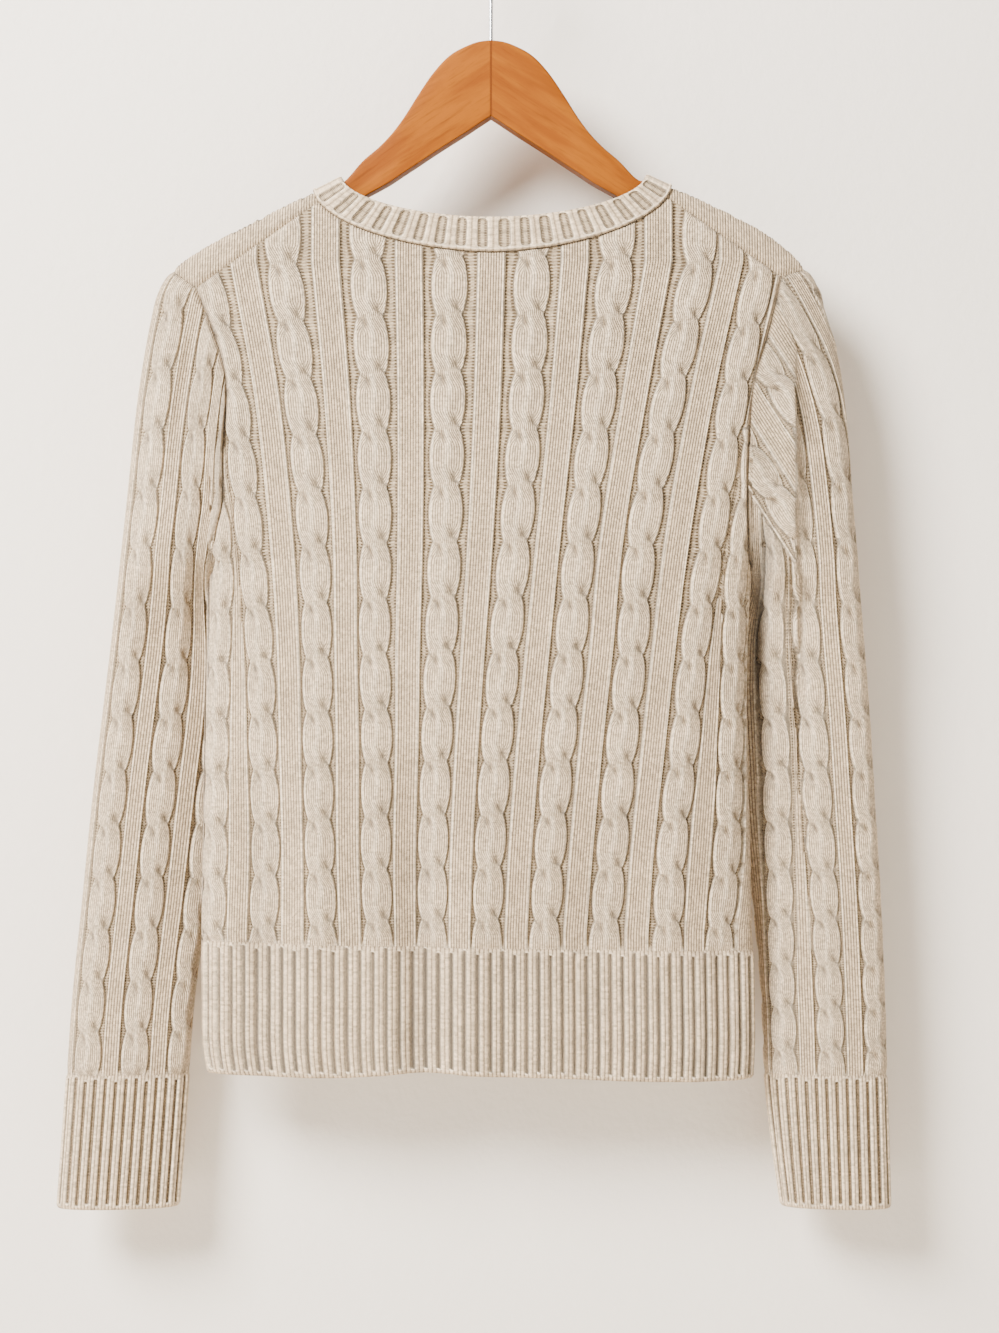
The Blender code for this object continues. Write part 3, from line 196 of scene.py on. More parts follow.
# Soft folds, each from one place to another, with half width and height, minus for a trough. A far
# width is that of the side away from the middle.
bodyFolds = [
    Fold(-52, 540, -46, 860, 14, -6.0),
    Fold(-15, 560, -14, 860, 15, 4.5),
    Fold(66, 570, 58, 790, 24, -3.0),
    Fold(-118, 520, -112, 790, 18, 3.4),
    Fold(-152, 540, -150, 790, 12, -3.8),
    Fold(126, 470, 118, 690, 18, 2.0),
    Fold(150, 600, 152, 790, 10, -2.0),
]
leftFolds = [
    Fold(-192, 252, -209, 345, 6.5, -3.4),
    Fold(-184, 288, -196, 372, 6.0, -3.0),
    Fold(-202, 262, -217, 360, 7.0, 2.6),
    Fold(-190, 360, -202, 520, 8.0, -2.5),
    Fold(-212, 300, -222, 480, 9.0, 2.0),
]
rightFolds = [
    Fold(198.0, 280, 198.5, 432, 13.0, 4.6, 1.6),  # the cloth laid over itself, with a sharp edge
    Fold(199.5, 405, 200.0, 560, 10.0, 3.6, 1.8),
    Fold(205.0, 282, 207.0, 560, 6.0, -3.4),
    Fold(177.0, 392, 177.5, 500, 6.5, -9.0),
    Fold(175.0, 450, 178.0, 620, 6.0, -4.5),
    Fold(186, 262, 208, 352, 6.0, 1.6),
]
cuffFolds = [Fold(189, 748, 194, 880, 3.0, -3.6), Fold(184, 752, 189, 880, 3.0, 1.6)]
# Painted shade in the pocket under the right sleeve's fold, with half sizes; it runs out slowly downwards
hollow = {"x": 177.5, "drop": 432, "width": 7.5, "height": 42, "tail": 0.45}


def foldHeight(folds, x, drop):
    total = np.zeros(np.shape(x))
    for fold in folds:
        run, fall = fold.toX - fold.x, fold.toDrop - fold.drop
        t = ((x - fold.x) * run + (drop - fold.drop) * fall) / (run * run + fall * fall)
        t = np.clip(t, 0, 1)
        off = np.hypot(x - fold.x - t * run, drop - fold.drop - t * fall)
        far = (x - fold.x) * fall - (drop - fold.drop) * run > 0
        width = np.where(far, fold.farWidth or fold.width, fold.width)
        total = total + fold.height * np.exp(-((off / width) ** 2)) * np.sin(np.pi * t) ** 0.7
    return total


# Body: positions by distance along the cloth from the middle line, and drop

tableTop, tableBottom, tableStep, tableColumns = 332, 770, 2, 400


# For one side: the cloth's half girth at each drop, and x and depth at even shares of it
@lru_cache(None)
def girthTable(name):
    sign = signOf(name)
    drops = np.arange(tableTop, tableBottom + 1, tableStep, dtype=float)
    edge = smooth(cloth["body"], name, drops)
    x = edge[:, None] * np.sin(np.linspace(0, np.pi / 2, 300))[None, :]
    depth = halfDepth(sign * x, np.broadcast_to(drops[:, None], x.shape))
    ifFlat = np.cumsum(np.hypot(np.diff(x, axis=1), np.diff(depth, axis=1)), axis=1)
    along = np.concatenate([np.zeros((len(drops), 1)), ifFlat], axis=1)
    t = np.clip((drops - tableTop) / cloth["partRise"], 0, 1)[:, None]
    along = x + t * t * (3 - 2 * t) * (along - x)
    even = np.linspace(0, 1, tableColumns)
    shares = [row / row[-1] for row in along]
    xEven = np.array([np.interp(even, s, row) for s, row in zip(shares, x)])
    depthEven = np.array([np.interp(even, s, row) for s, row in zip(shares, depth)])
    return drops, along[:, -1], xEven, depthEven


def halfGirth(name, drop):
    drops, girth, _, _ = girthTable(name)
    return np.interp(drop, drops, girth)


def fromTable(name, along, drop):
    drops, girth, xEven, depthEven = girthTable(name)
    row = np.clip((drop - tableTop) / tableStep, 0, len(drops) - 1.001)
    share = np.clip(np.abs(along) / np.interp(drop, drops, girth), 0, 1)
    column = np.minimum(share * (tableColumns - 1), tableColumns - 1.001)
    i, j = row.astype(int), column.astype(int)
    u, v = row - i, column - j

    def blend(grid):
        upper = grid[i, j] * (1 - v) + grid[i, j + 1] * v
        lower = grid[i + 1, j] * (1 - v) + grid[i + 1, j + 1] * v
        return upper * (1 - u) + lower * u

    return blend(xEven), blend(depthEven)


# Above the table a point's distance along the cloth is its x
def xAndDepth(along, drop):
    along, drop = np.asarray(along, float), np.asarray(drop, float)
    left, right = fromTable("left", along, drop), fromTable("right", along, drop)
    x = np.where(along < 0, -left[0], right[0])
    depth = np.where(along < 0, left[1], right[1])
    high = drop < tableTop
    return np.where(high, along, x), np.where(high, halfDepth(along, drop), depth)


# Distance along the cloth of one point given by its x
def alongOf(x, drop):
    if drop < tableTop:
        return x
    shares = np.linspace(-1, 1, 801) * halfGirth(sideOf(x), drop)
    return float(np.interp(x, xAndDepth(shares, np.full(801, drop))[0], shares))


# Drop of the shoulder's fold at this x
def ridge(x):
    drops = np.linspace(113, 232, 240)
    left, right = smooth(cloth["reach"], "left", drops), smooth(cloth["reach"], "right", drops)
    x, across = np.asarray(x), np.abs(x)
    return np.where(x < 0, np.interp(across, left, drops), np.interp(across, right, drops))


# Points of the cloth and its outward directions. Above the shoulder's fold the front's cloth
# comes over to the back, and its drop goes on upwards as if it were unfolded.
def bodyPlace(points, side):
    along, drop = points[:, 0], points[:, 1]
    sides = np.full(len(along), side)
    if side == front:
        fold = ridge(along)
        lapped = (drop < fold) & (drop < tableTop)
        drop = np.where(lapped, 2 * fold - drop, drop)
        sides = np.where(lapped, back, sides)
    x, depth = xAndDepth(along, drop)
    edge = bySide(cloth["body"], x, drop)
    start, over = cloth["foldsFrom"]
    fade = np.clip((edge - np.abs(x)) / cloth["foldsEdge"], 0, 1) * np.clip((drop - start) / over, 0, 1)
    raised = foldHeight(bodyFolds, x * -side, drop) * fade
    place = np.stack([x, sides * (depth + raised), -drop], axis=1)
    return place, outward(x, drop, sides)


# Sleeve: positions by distance round it from its inner edge, and drop
Seam = namedtuple("Seam", "left leftDrop right rightDrop")
armhole = {
    "underarm": {"left": (183.5, 417), "right": (170.9, 427)},  # reach from the middle, drop
    "top": {"left": 226.8, "right": 225.5},  # drop at which each seam crosses the shoulder's fold
    "turn": 345.5,  # above this drop the seam turns outwards
    "steps": 120,
    "endSteps": 12,
    "underarmEase": 7,
    "seam": [
        Seam(183.5, 417.0, 170.9, 427.0),
        Seam(180.0, 398.0, 168.6, 404.0),
        Seam(175.7, 378.0, 167.9, 378.0),
        Seam(175.4, 345.5, 168.7, 346.5),
        Seam(173.1, 313.0, 171.0, 309.0),
        Seam(174.6, 292.0, 175.2, 290.0),
        Seam(182.6, 266.0, 182.6, 266.0),
        Seam(193.6, 238.8, 190.8, 231.5),
    ],
}

# Rings of a sleeve below the underarm: inner and outer edge, how far forward each lies, half depth
Ring = namedtuple("Ring", "drop inner innerY outer outerY depth")
sleeves = {
    "girth": 184,
    "width": 80,  # usual width of the flat sleeve
    "flatness": 0.4,  # its depth as a share of its width
    "power": 2.45,  # of its sections
    "gathering": 3.3,
    "rows": 190,  # points down the joined edge
    "columns": 120,  # and round the cuff's seam
    "left": [
        Ring(417, 184.2, 0.0, 243.0, 0.0, 14.0),
        Ring(426, 186.0, 5.5, 244.0, 0.6, 14.0),
        Ring(436, 186.4, 12.0, 245.3, 1.8, 14.0),
        Ring(448, 185.0, 18.0, 246.9, 3.4, 14.5),
        Ring(462, 182.2, 23.5, 248.8, 5.4, 15.0),
        Ring(484, 178.5, 28.5, 251.8, 8.4, 15.8),
        Ring(515, 177.0, 31.0, 256.0, 11.0, 16.5),
        Ring(575, 183.0, 30.0, 263.4, 12.8, 17.0),
        Ring(641, 190.7, 27.0, 270.1, 13.0, 17.0),
        Ring(710, 199.5, 21.0, 276.9, 12.0, 16.5),
        Ring(757, 202.9, 19.0, 280.0, 11.0, 15.5),
        Ring(846, 209.3, 17.0, 286.4, 10.0, 14.5),
    ],
    "right": [
        Ring(427, 171.6, 0.0, 240.9, 0.0, 14.0),
        Ring(436, 171.2, 6.5, 241.7, 0.6, 14.0),
        Ring(446, 168.8, 13.0, 242.6, 1.8, 14.2),
        Ring(458, 165.4, 19.5, 243.8, 3.4, 14.8),
        Ring(472, 163.0, 25.0, 245.2, 5.4, 15.5),
        Ring(494, 162.4, 30.0, 247.4, 8.4, 16.5),
        Ring(525, 163.4, 32.0, 250.0, 11.0, 17.3),
        Ring(575, 167.0, 31.5, 253.2, 12.8, 17.8),
        Ring(641, 176.5, 28.0, 257.2, 13.0, 17.5),
        Ring(710, 182.4, 23.0, 260.0, 12.0, 16.5),
        Ring(759, 184.0, 19.0, 261.2, 11.0, 15.5),
        Ring(806, 189.0, 18.0, 262.5, 10.5, 14.8),
        Ring(846, 194.6, 17.0, 263.6, 10.0, 14.0),
    ],
}


# How far across a flat tube, from edge to edge, a point lies at this share of half its girth
def roundShare(share):
    x = -np.cos(np.linspace(0, np.pi, 400))
    girth = lengthAlong(x, sleeves["flatness"] * bulge(x, sleeves["power"]))
    return np.interp(share, girth / girth[-1], (x + 1) / 2)


# Distance from the sleeve's outer edge. Where the sleeve is narrower than usual, its cloth is
# gathered towards the inner edge.
def inset(share, width):
    usual = 1 - roundShare(share)
    return sleeves["width"] * usual - (sleeves["width"] - width) * usual**sleeves["gathering"]


# (reach, drop) of the armhole seam, from the underarm to the shoulder's fold, moved outwards
@lru_cache(None)
def armholePoints(name, outwards=0.0):
    sign = signOf(name)
    rows = armhole["seam"]
    rows = [Reach(i, getattr(row, name), getattr(row, name + "Drop")) for i, row in enumerate(rows)]
    fine = np.linspace(0, len(rows) - 1, 200)
    reach, drop = smooth(rows, "left", fine), smooth(rows, "right", fine)
    length = lengthAlong(reach, drop)
    marks = np.linspace(0, 1, armhole["steps"] + 1) ** 1.25 * length[-1]
    seam = [(np.interp(m, length, reach), np.interp(m, length, drop)) for m in marks]
    top = armhole["top"][name]
    end = (float(bySide(cloth["reach"], np.array(sign), np.array(top))), top)
    for i in range(1, armhole["endSteps"] + 1):
        t = 1 - (1 - i / armhole["endSteps"]) ** 2
        seam.append(tuple(np.array(seam[armhole["steps"]]) * (1 - t) + np.array(end) * t))
    seam = np.array(seam)
    run = np.gradient(seam, axis=0)
    run /= np.linalg.norm(run, axis=1, keepdims=True)
    apart = outwards * (1 + armhole["underarmEase"] * np.exp(-np.arange(len(seam)) / 1.5))
    return seam + np.column_stack([-run[:, 1], run[:, 0]]) * apart[:, None]


# Drops, and the sleeve's inner and outer edge there. Above the armhole seam's straight part the
# inner edge is only a guide, and the seam cuts the cloth.
@lru_cache(None)
def sleeveTable(name):
    sign = signOf(name)
    rows = sleeves[name]
    seam = armholePoints(name, cloth["seamGap"] / 2)
    underarm = armhole["underarm"][name][1]
    drops = np.arange(220, cuffs["bottom"] + 1, 1.0)
    outline = bySide(cloth["reach"], np.full(len(drops), sign), drops)
    outer = np.where(drops < underarm, outline, smooth(rows, "outer", drops))
    straight = np.append(seam[1:, 1][::-1], underarm), np.append(seam[1:, 0][::-1], rows[0].inner)
    alongSeam = np.interp(drops, *straight)
    width = np.interp(armhole["turn"], drops, outer - alongSeam)
    inner = np.where(drops < armhole["turn"], outer - width, alongSeam)
    return drops, np.where(drops < underarm, inner, smooth(rows, "inner", drops)), outer


# Distance round the sleeve of a point of the armhole seam
def armholeRound(name, reach, drop):
    drops, inner, outer = sleeveTable(name)
    edge, width = np.interp(drop, drops, outer), np.interp(drop, drops, outer - inner)
    shares = np.linspace(1, 0, 400)
    return sleeves["girth"] / 2 * float(np.interp(edge - reach, inset(shares, width), shares))


# Points of the cloth alone. The first column runs once round the sleeve, back, then front, and
# at its very end is still on the front.
def sleevePoints(name, points):
    sign = signOf(name)
    half = sleeves["girth"] / 2
    around, drop = points[:, 0], points[:, 1]
    around = np.where(around == sleeves["girth"], around, around % sleeves["girth"])
    side = np.where(around <= half, back, front)
    share = np.where(around <= half, around, sleeves["girth"] - around) / half
    drops, innerEdge, outerEdge = sleeveTable(name)
    inner, outer = np.interp(drop, drops, innerEdge), np.interp(drop, drops, outerEdge)
    reach = outer - inset(share, outer - inner)
    part = (reach - inner) / (outer - inner)
    x = sign * reach
    rows = sleeves[name]
    inCap = drop < armhole["underarm"][name][1]
    innerY, outerY = smooth(rows, "innerY", drop), smooth(rows, "outerY", drop)
    tube = smooth(rows, "depth", drop) * bulge(2 * part - 1, sleeves["power"])
    depth = np.where(inCap, halfDepth(x, drop), tube)
    middle = np.where(inCap, 0, innerY + (outerY - innerY) * part)
    folds = leftFolds if name == "left" else rightFolds + cuffFolds
    fade = (1 - np.abs(2 * part - 1) ** 6) * (side == back)
    raised = foldHeight(folds, x, drop) * np.clip(fade, 0, 1) * np.clip(depth / 6, 0, 1)
    return np.stack([x, middle + side * (depth + raised), -drop], axis=1), inCap, x, side


def sleevePlace(name, points, step=0.4):
    place, inCap, x, side = sleevePoints(name, points)
    lower = points.copy()
    lower[:, 1] = np.maximum(points[:, 1], armhole["underarm"][name][1] + step)
    ahead, behind = (sleevePoints(name, lower + [d, 0])[0] for d in (step, -step))
    below, above = (sleevePoints(name, lower + [0, d])[0] for d in (step, -step))
    normal = np.cross(ahead - behind, above - below)
    normal *= signOf(name)
    normal /= np.maximum(np.linalg.norm(normal, axis=1, keepdims=True), 1e-9)
    return place, np.where(inCap[:, None], outward(x, points[:, 1], side), normal)


# Neckband: two loops round the neck, each from the left shoulder over the back and the front, with
# their drops at the middle and how far they reach along the shoulders
Neckline = namedtuple("Neckline", "back front left right power")
neck = {
    "outer": Neckline(215.8, 262, 116.5, 118.5, 1.8),
    "inner": Neckline(192.9, 238, 98.0, 101.8, 1.9),
    "ribs": 42,
    "marks": 20,  # columns of points a rib
    "length": 560,
    "ribHeight": 1.7,
    "grooveHalf": 3.25,
    "grooveVaries": 0.35,
    "rounded": 0.75,
    "ribsFrom": 2.5,
    "uneven": 0.2,
    "ribsEnd": 1.3,
    "meets": False,
    "rolled": 0.4,
    "line": 1.0,  # height of the raised line that links the band to the body
    "cornerDown": 9.0,  # how far down the back the shoulder seam starts
}


# (x, drop, side) at angles from -90 degrees, the left shoulder, over 0, the back's middle
def neckLoop(line, angle):
    turn, lean = np.sin(angle), np.cos(angle)
    side = np.where(lean > 0, back, front)
    reach = np.where(turn < 0, line.left, line.right)
    shoulder = np.where(turn < 0, ridge(-line.left), ridge(line.right))
    middle = np.where(side == back, line.back, line.front)
    x = np.sign(turn) * reach * np.abs(turn) ** (2 / line.power)
    return x, shoulder + (middle - shoulder) * np.abs(lean) ** (2 / line.power), side


# Angles of the rib's columns, evenly spaced along the band's outer edge
@lru_cache(None)
def neckAngles():
    fine = np.linspace(-np.pi / 2, 1.5 * np.pi, 2001)
    x, drop, side = neckLoop(neck["outer"], fine)
    track = np.stack([x, side * halfDepth(x, drop), drop], axis=1)
    length = np.concatenate([[0], np.cumsum(np.linalg.norm(np.diff(track, axis=0), axis=1))])
    count = neck["ribs"] * neck["marks"]
    return np.interp(np.arange(count) / count, length / length[-1], fine)


# Points of the neckband by rib mark and share of its height, from its outer edge inwards
def bandPlace(points):
    angle, share = points[:, 0], points[:, 1]
    outer, inner = neckLoop(neck["outer"], angle), neckLoop(neck["inner"], angle)
    x = outer[0] * (1 - share) + inner[0] * share
    drop = outer[1] * (1 - share) + inner[1] * share
    drop = np.maximum(drop, ridge(x))
    place = np.stack([x, outer[2] * halfDepth(x, drop), -drop], axis=1)
    return place, outward(x, drop, outer[2])


# The panel's neck edge from left to right, at the neckband's own marks, with both shoulder
# corners on the back: (x, drop), the drop unfolded on the front
def neckSeam(side):
    angles = neckAngles()[::5]
    x, drop, sides = neckLoop(neck["outer"], angles)
    left, right = shoulderCorner("left"), shoulderCorner("right")
    onBack = (angles >= angles[left]) & (angles <= angles[right])
    if side == back:
        return [(x[i], drop[i]) for i in np.flatnonzero(onBack)]
    order = list(range(left, -1, -1)) + list(range(len(angles) - 1, right - 1, -1))
    lapped = sides == back
    unfolded = np.where(lapped, 2 * ridge(x) - drop, drop)
    return [(x[i], unfolded[i]) for i in order]


# Which of the neck seam's points meets the shoulder seam: the first a few mm down the back
@lru_cache(None)
def shoulderCorner(name):
    angles = neckAngles()[::5]
    x, drop, sides = neckLoop(neck["outer"], angles)
    below = np.where(sides == back, drop - ridge(x), 0)
    onSide = (x < 0) if name == "left" else (x > 0)
    found = np.flatnonzero((below > neck["cornerDown"] - 1.5) & onSide & (sides == back))
    return int(found[0] if name == "left" else found[-1])


# Triangles over the points within the outline that the first of them draw
def triangulate(points, outlineCount, squeeze=1.0):
    flat = [(float(u), -float(v) * squeeze) for u, v in points]
    found = delaunay_2d_cdt(flat, [], [list(range(outlineCount))], 1, 1e-5)
    origin = [first[0] if first else None for first in found[3]]
    if None in origin:
        raise ValueError("the outline crosses itself")
    return [[origin[i] for i in face] for face in found[2]]


# Twice the area within an outline, less than 0 where it runs the other way round
def twiceArea(outline):
    ahead = np.roll(outline, -1, axis=0)
    return np.sum(outline[:, 0] * ahead[:, 1] - ahead[:, 0] * outline[:, 1])


# The outline moved inwards
def drawIn(outline, gap):
    ahead, behind = np.roll(outline, -1, axis=0) - outline, outline - np.roll(outline, 1, axis=0)
    unit = [run / np.linalg.norm(run, axis=1, keepdims=True) for run in (ahead, behind)]
    across = unit[0] + unit[1]
    across /= np.linalg.norm(across, axis=1, keepdims=True)
    inwards = np.stack([across[:, 1], -across[:, 0]], axis=1)
    return outline + inwards * (-gap if twiceArea(outline) > 0 else gap)


# Below the armholes a panel's cloth ends just short of the middle plane
def stayOnSide(verts, side):
    low = verts[:, 2] < -cloth["slitTop"]
    reached = np.maximum(side * verts[:, 1], cloth["seamGap"] / 2) * side
    return np.column_stack([verts[:, 0], np.where(low, reached, verts[:, 1]), verts[:, 2]])


hem = {
    "top": 670.5,  # drop of the rib at the middle
    "tilt": 0.018,  # its fall to the right
    "bottom": 754.5,
    "waves": [  # x, and the drop of its lower edge there
        (-184, 754.0), (-160, 754.5), (-118, 754.9), (-95, 754.6), (-71, 753.3), (-48, 751.8),
        (-37, 751.4), (-25, 751.7), (-13, 752.7), (0, 753.6), (16, 754.0), (39, 754.9),
        (86, 757.0), (132, 758.2), (160, 758.2), (184, 757.0),
    ],
    "ribs": 46,
    "ribHeight": 2.3,
    "grooveHalf": 1.2,
    "grooveVaries": 0.45,
    "rounded": 0.9,  # how far the grooves' ends are rounded
    "ribsFrom": 2.6,  # where the grooves begin, below the band's upper edge
    "uneven": 1.5,  # and by how much they differ
    "ribsEnd": 2.6,  # where they end, above its lower edge
    "meets": True,  # the cables run into the ribs
    "rolled": 0.45,  # how much the lower edge rounds off
    "line": 0,
}
cuffs = {**hem, "top": 757, "bottom": 845.5, "ribs": 28, "ribHeight": 2.1, "grooveHalf": 1.05}


def hemTop(x):
    return hem["top"] + hem["tilt"] * x


panels = {
    "shoulderSteps": 80,
    "sideSteps": 180,
    "hemSteps": 300,
    "longestEdge": 2.2,
    "edgeRoom": 0.8,  # no point of the relief is nearer the cut edge
    "liningStep": 9.0,  # spacing of the inner face's points
    "liningRoom": 3,
    "drawnFlat": 45,  # length over which the front's cloth is drawn flat below the shoulder's fold
    # painted shade in the troughs of the body's folds, per mm of their depth
    "foldShade": 0.05,
}


# Inner points of the shoulder seam, from the neck to the armhole
def shoulderSeam(name, side):
    sign = signOf(name)
    corner = neckSeam(back)[0 if name == "left" else -1]
    reach, drop = armholePoints(name)[armhole["steps"]]
    points = []
    for i in range(1, panels["shoulderSteps"]):
        t = i / panels["shoulderSteps"]
        x, at = corner[0] * (1 - t) + sign * reach * t, corner[1] * (1 - t) + drop * t
        points.append((x, at if side == back else float(2 * ridge(x) - at)))
    return points


# Edge of a panel from its hem up one side to its neck, as (distance along, drop)
def panelHalfOutline(name, side):
    sign = signOf(name)
    underarm = armhole["underarm"][name][1]
    seam = armholePoints(name)
    bottom = float(hemTop(sign * smooth(cloth["body"], name, hem["top"])))
    steps = panels["sideSteps"]
    points = []
    for i in range(steps):
        drop = bottom + (underarm - bottom) * i / steps
        points.append((sign * float(halfGirth(name, drop)), drop))
    last = armhole["steps"] if side == back else len(seam) - 1
    points += [(alongOf(sign * reach, drop), drop) for reach, drop in seam[: last + 1]]
    if side == front:
        for reach, drop in seam[-2 : armhole["steps"] - 1 : -1]:
            points.append((sign * reach, float(2 * ridge(sign * reach) - drop)))
    return points + shoulderSeam(name, side)[::-1]


# Cables, the ribbed panels between them, and the grooves beside them

Spine = namedtuple("Spine", "at222 at311 at410 at476 at536 at608 at661")
Pit = namedtuple("Pit", "share phase width length depth")  # painted shade in a hollow beside a crossing
cables = {
    "spineDrops": (222, 311, 410, 476, 536, 608, 661),
    "spines": [
        Spine(-214, -195, -176, -177.9, -179.7, -181, -182.4),
        Spine(-188, -168.3, -156.6, -150.7, -148.7, -146.9, -148.7),
        Spine(-136.2, -124.1, -115, -113, -112.4, -111.1, -109.7),
        Spine(-80.5, -76.6, -75, -75.4, -74, -74.7, -73.4),
        Spine(-26.8, -27.9, -29.9, -32.4, -35, -37.6, -38.2),
        Spine(27.5, 23.5, 15.6, 9.1, 4, -0.6, -2.5),
        Spine(82.6, 70.9, 57.9, 51.4, 44.9, 38.4, 35.1),
        Spine(136.8, 116.4, 97.6, 91.8, 85.3, 78.8, 74.2),
        Spine(178, 158.7, 143.1, 132.7, 126.2, 117.8, 115.1),
        Spine(214, 187, 162.5, 159, 157, 154.5, 149.3),
    ],
    "first": 218.9,  # drop of the first crossing at the middle
    "step": 38.34,
    "closing": 0.193,  # how much closer the crossings come, row by row
    "leastStep": 0.6,  # but never closer than this share of the first step
    "sag": 2.7e-4,  # the rows of crossings hang lower towards the sides
    "usualSpacing": 38,
    "half": 10.0,  # half width at the usual spacing
    "growth": 0.12,  # and more for each mm of spacing over it
    "panelHalf": 7.3,  # the same two for the panel between two cables
    "panelGrowth": 0.09,
    "leastGroove": 1.2,
    "waist": 0.70,  # width at a crossing, as a share of the full width
    "height": 2.7,
    "over": 0.5,  # how much higher a strand is where it crosses over, as a share of the height
    "overFor": 0.24,  # for which part of the repeat
    "under": 0.85,  # and how much lower where it passes under
    "underFor": 0.22,
    "apart": 0.45,  # how far a strand's middle lies from the cable's, as a share of the half width
    "partedAfter": 0.34,  # from which part of the repeat on
    "crest": 0.36,  # how much the crossing strand's crest stands out, as a share of the height
    "bright": 0.15,  # painted highlight: how much lighter a cable is than a panel
    "brightCrest": 0.6,  # and how much its crests are, also painted highlight
    "rim": 0.55,  # height of the wale along a cable's edge, in mm
    "rimAt": 0.90,  # where it lies, as a share of the cable's half width
    "panelHeight": 1.5,
    "panelLip": 0.4,
    "lipAt": 0.94,  # as a share of the panel's half width
    "sunk": 0.5,  # depth of the grooves under the cloth's face
    "pits": [Pit(-0.30, 0.13, 0.13, 0.09, 1.3), Pit(0.32, 0.87, 0.15, 0.08, 0.75)],
    "strandWales": 6,
    "walePitch": 1.75,
    "course": 1.45,
    "rowStep": 1.75,
}
sleeveCables = {
    "count": 6,
    "first": {"left": 11.0, "right": 18.6},  # distance round to the first cable's middle
    "lean": {"left": 0.0, "right": 8.0},  # how far they lean over in the first 100 mm of the cap
    "leanFrom": 395,
    "half": 8.8,
    "groove": 1.7,
    # drop, and how far the right sleeve's inner cable is moved outwards there
    "shift": [(300, 9.0), (420, 10.0), (560, 8.5), (640, 3.0), (700, 0.0), (900, 0.0)],
    "shiftedHalf": 7.4,
    "crossings": {"left": (293.0, 39.6, 0.28), "right": (281.6, 43.6, 0.64)},  # first, step, closing
    "flatTop": (224, 30),  # the relief starts low at this drop, and takes this long to its full height
    "rowStep": 1.6,
}
ovalHalf = (0.14, 0.28, 0.42, 0.56, 0.70, 0.81, 0.89, 0.96, 1.0, 1.05)
# On the right sleeve a fold turns the cloth aside: it lies left of the border, and its columns slant
slant = {
    # drop, and x of the border there
    "border": [(240, 184.0), (268, 196.5), (279, 200.5), (289, 199.3), (304, 198.4), (430, 198.8)],
    "from": 225,  # the drop where it begins
    "run": (0.530, 0.848),  # which way its columns go, across and down
    "cable": -1.3,  # the first cable's middle, across them
    "number": 4,  # which of the sleeve's cables it is
    "spacing": 40,
    "half": 9.6,
    "groove": 2.2,
    "crossing": 354,  # along them
    "step": 30.4,
    "end": -55.0,  # across them, where the slanting cloth ends
    "grid": 1.15,  # spacing of its points
    "nearest": 0.35,  # and no two points of the sleeve are closer than this
}
oval = [-share for share in ovalHalf[::-1]] + [0] + list(ovalHalf)
beyondLast = (2, 4, 6, 9, 12, 16, 20, 25, 30, 35, 40, 46)  # mm past the outermost cable
flat = (-1.08, -1.0, -0.92, -0.8, -0.4, 0, 0.4, 0.8, 0.92, 1.0, 1.08)


def ease(t):
    t = np.clip(t, 0, 1)
    return t * t * (3 - 2 * t)


# Distance along the body's cloth of points given by x, all at one drop
def alongAt(xs, drop):
    if drop < tableTop:
        return np.array(xs, float)
    found = []
    for x in xs:
        drops, girth, xEven, _ = girthTable(sideOf(x))
        row = min((drop - tableTop) / tableStep, len(drops) - 1.001)
        i, part = int(row), row - int(row)
        line = xEven[i] * (1 - part) + xEven[i + 1] * part
        share = np.interp(abs(x), line, np.linspace(0, 1, tableColumns))
        found.append(math.copysign(share * np.interp(drop, drops, girth), x))
    return np.array(found)


# The cables' middle lines on the body: their drops, and each one's distance along the cloth there
@lru_cache(None)
def spineTable():
    drops = np.arange(120, 700, 3.0)
    spines = [[Reach(d, x, 0) for d, x in zip(cables["spineDrops"], spine)] for spine in cables["spines"]]
    x = np.array([smooth(rows, "left", drops) for rows in spines]).T
    return drops, np.array([alongAt(row, drop) for row, drop in zip(x, drops)])


# Middle lines of every cable at each point's drop, for the body or one sleeve
def middles(piece, drop):
    if piece == "body":
        drops, table = spineTable()
        return np.array([np.interp(drop, drops, table[:, k]) for k in range(table.shape[1])]).T
    step = sleeves["girth"] / sleeveCables["count"]
    lean = sleeveCables["lean"][piece] * (np.maximum(0, sleeveCables["leanFrom"] - drop) / 100) ** 2
    first = sleeveCables["first"][piece] - lean
    lines = first[:, None] + step * (np.arange(sleeveCables["count"] + 2) - 1)[None, :]
    if piece == "right":
        lines[:, 1] += np.interp(drop, *zip(*sleeveCables["shift"]))
    return lines


# Which repeat of its cable each point is in, as a count from the first crossing whose fraction is the
# part of that repeat, and the repeat's length there
def repeats(piece, middle, drop):
    if piece == "body":
        first, step, closing = cables["first"], cables["step"], cables["closing"]
        drop = drop - cables["sag"] * middle**2
    else:
        first, step, closing = sleeveCables["crossings"][piece]
    inner = np.maximum(step**2 - 4 * closing * (drop - first), (cables["leastStep"] * step) ** 2)
    steady = 2 * (drop - first) / (step + np.sqrt(inner))
    return steady, step - 2 * closing * steady


# Half width of a cable at a share of its repeat, as a share of its full half width
def waistAt(phase):
    return cables["waist"] + (1 - cables["waist"]) * np.sin(np.pi * phase) ** 0.65


# The crest of the strand that has crossed over, from the crossing down to the middle of its repeat
def crestAt(share, phase):
    at = 0.10 * np.sin(np.pi * np.clip(phase * 1.5, 0, 1)) - 0.16 * np.exp(-phase / 0.07)
    return np.exp(-(((share - at) / 0.13) ** 2)) * ease(phase / 0.04) * (1 - ease((phase - 0.28) / 0.4))


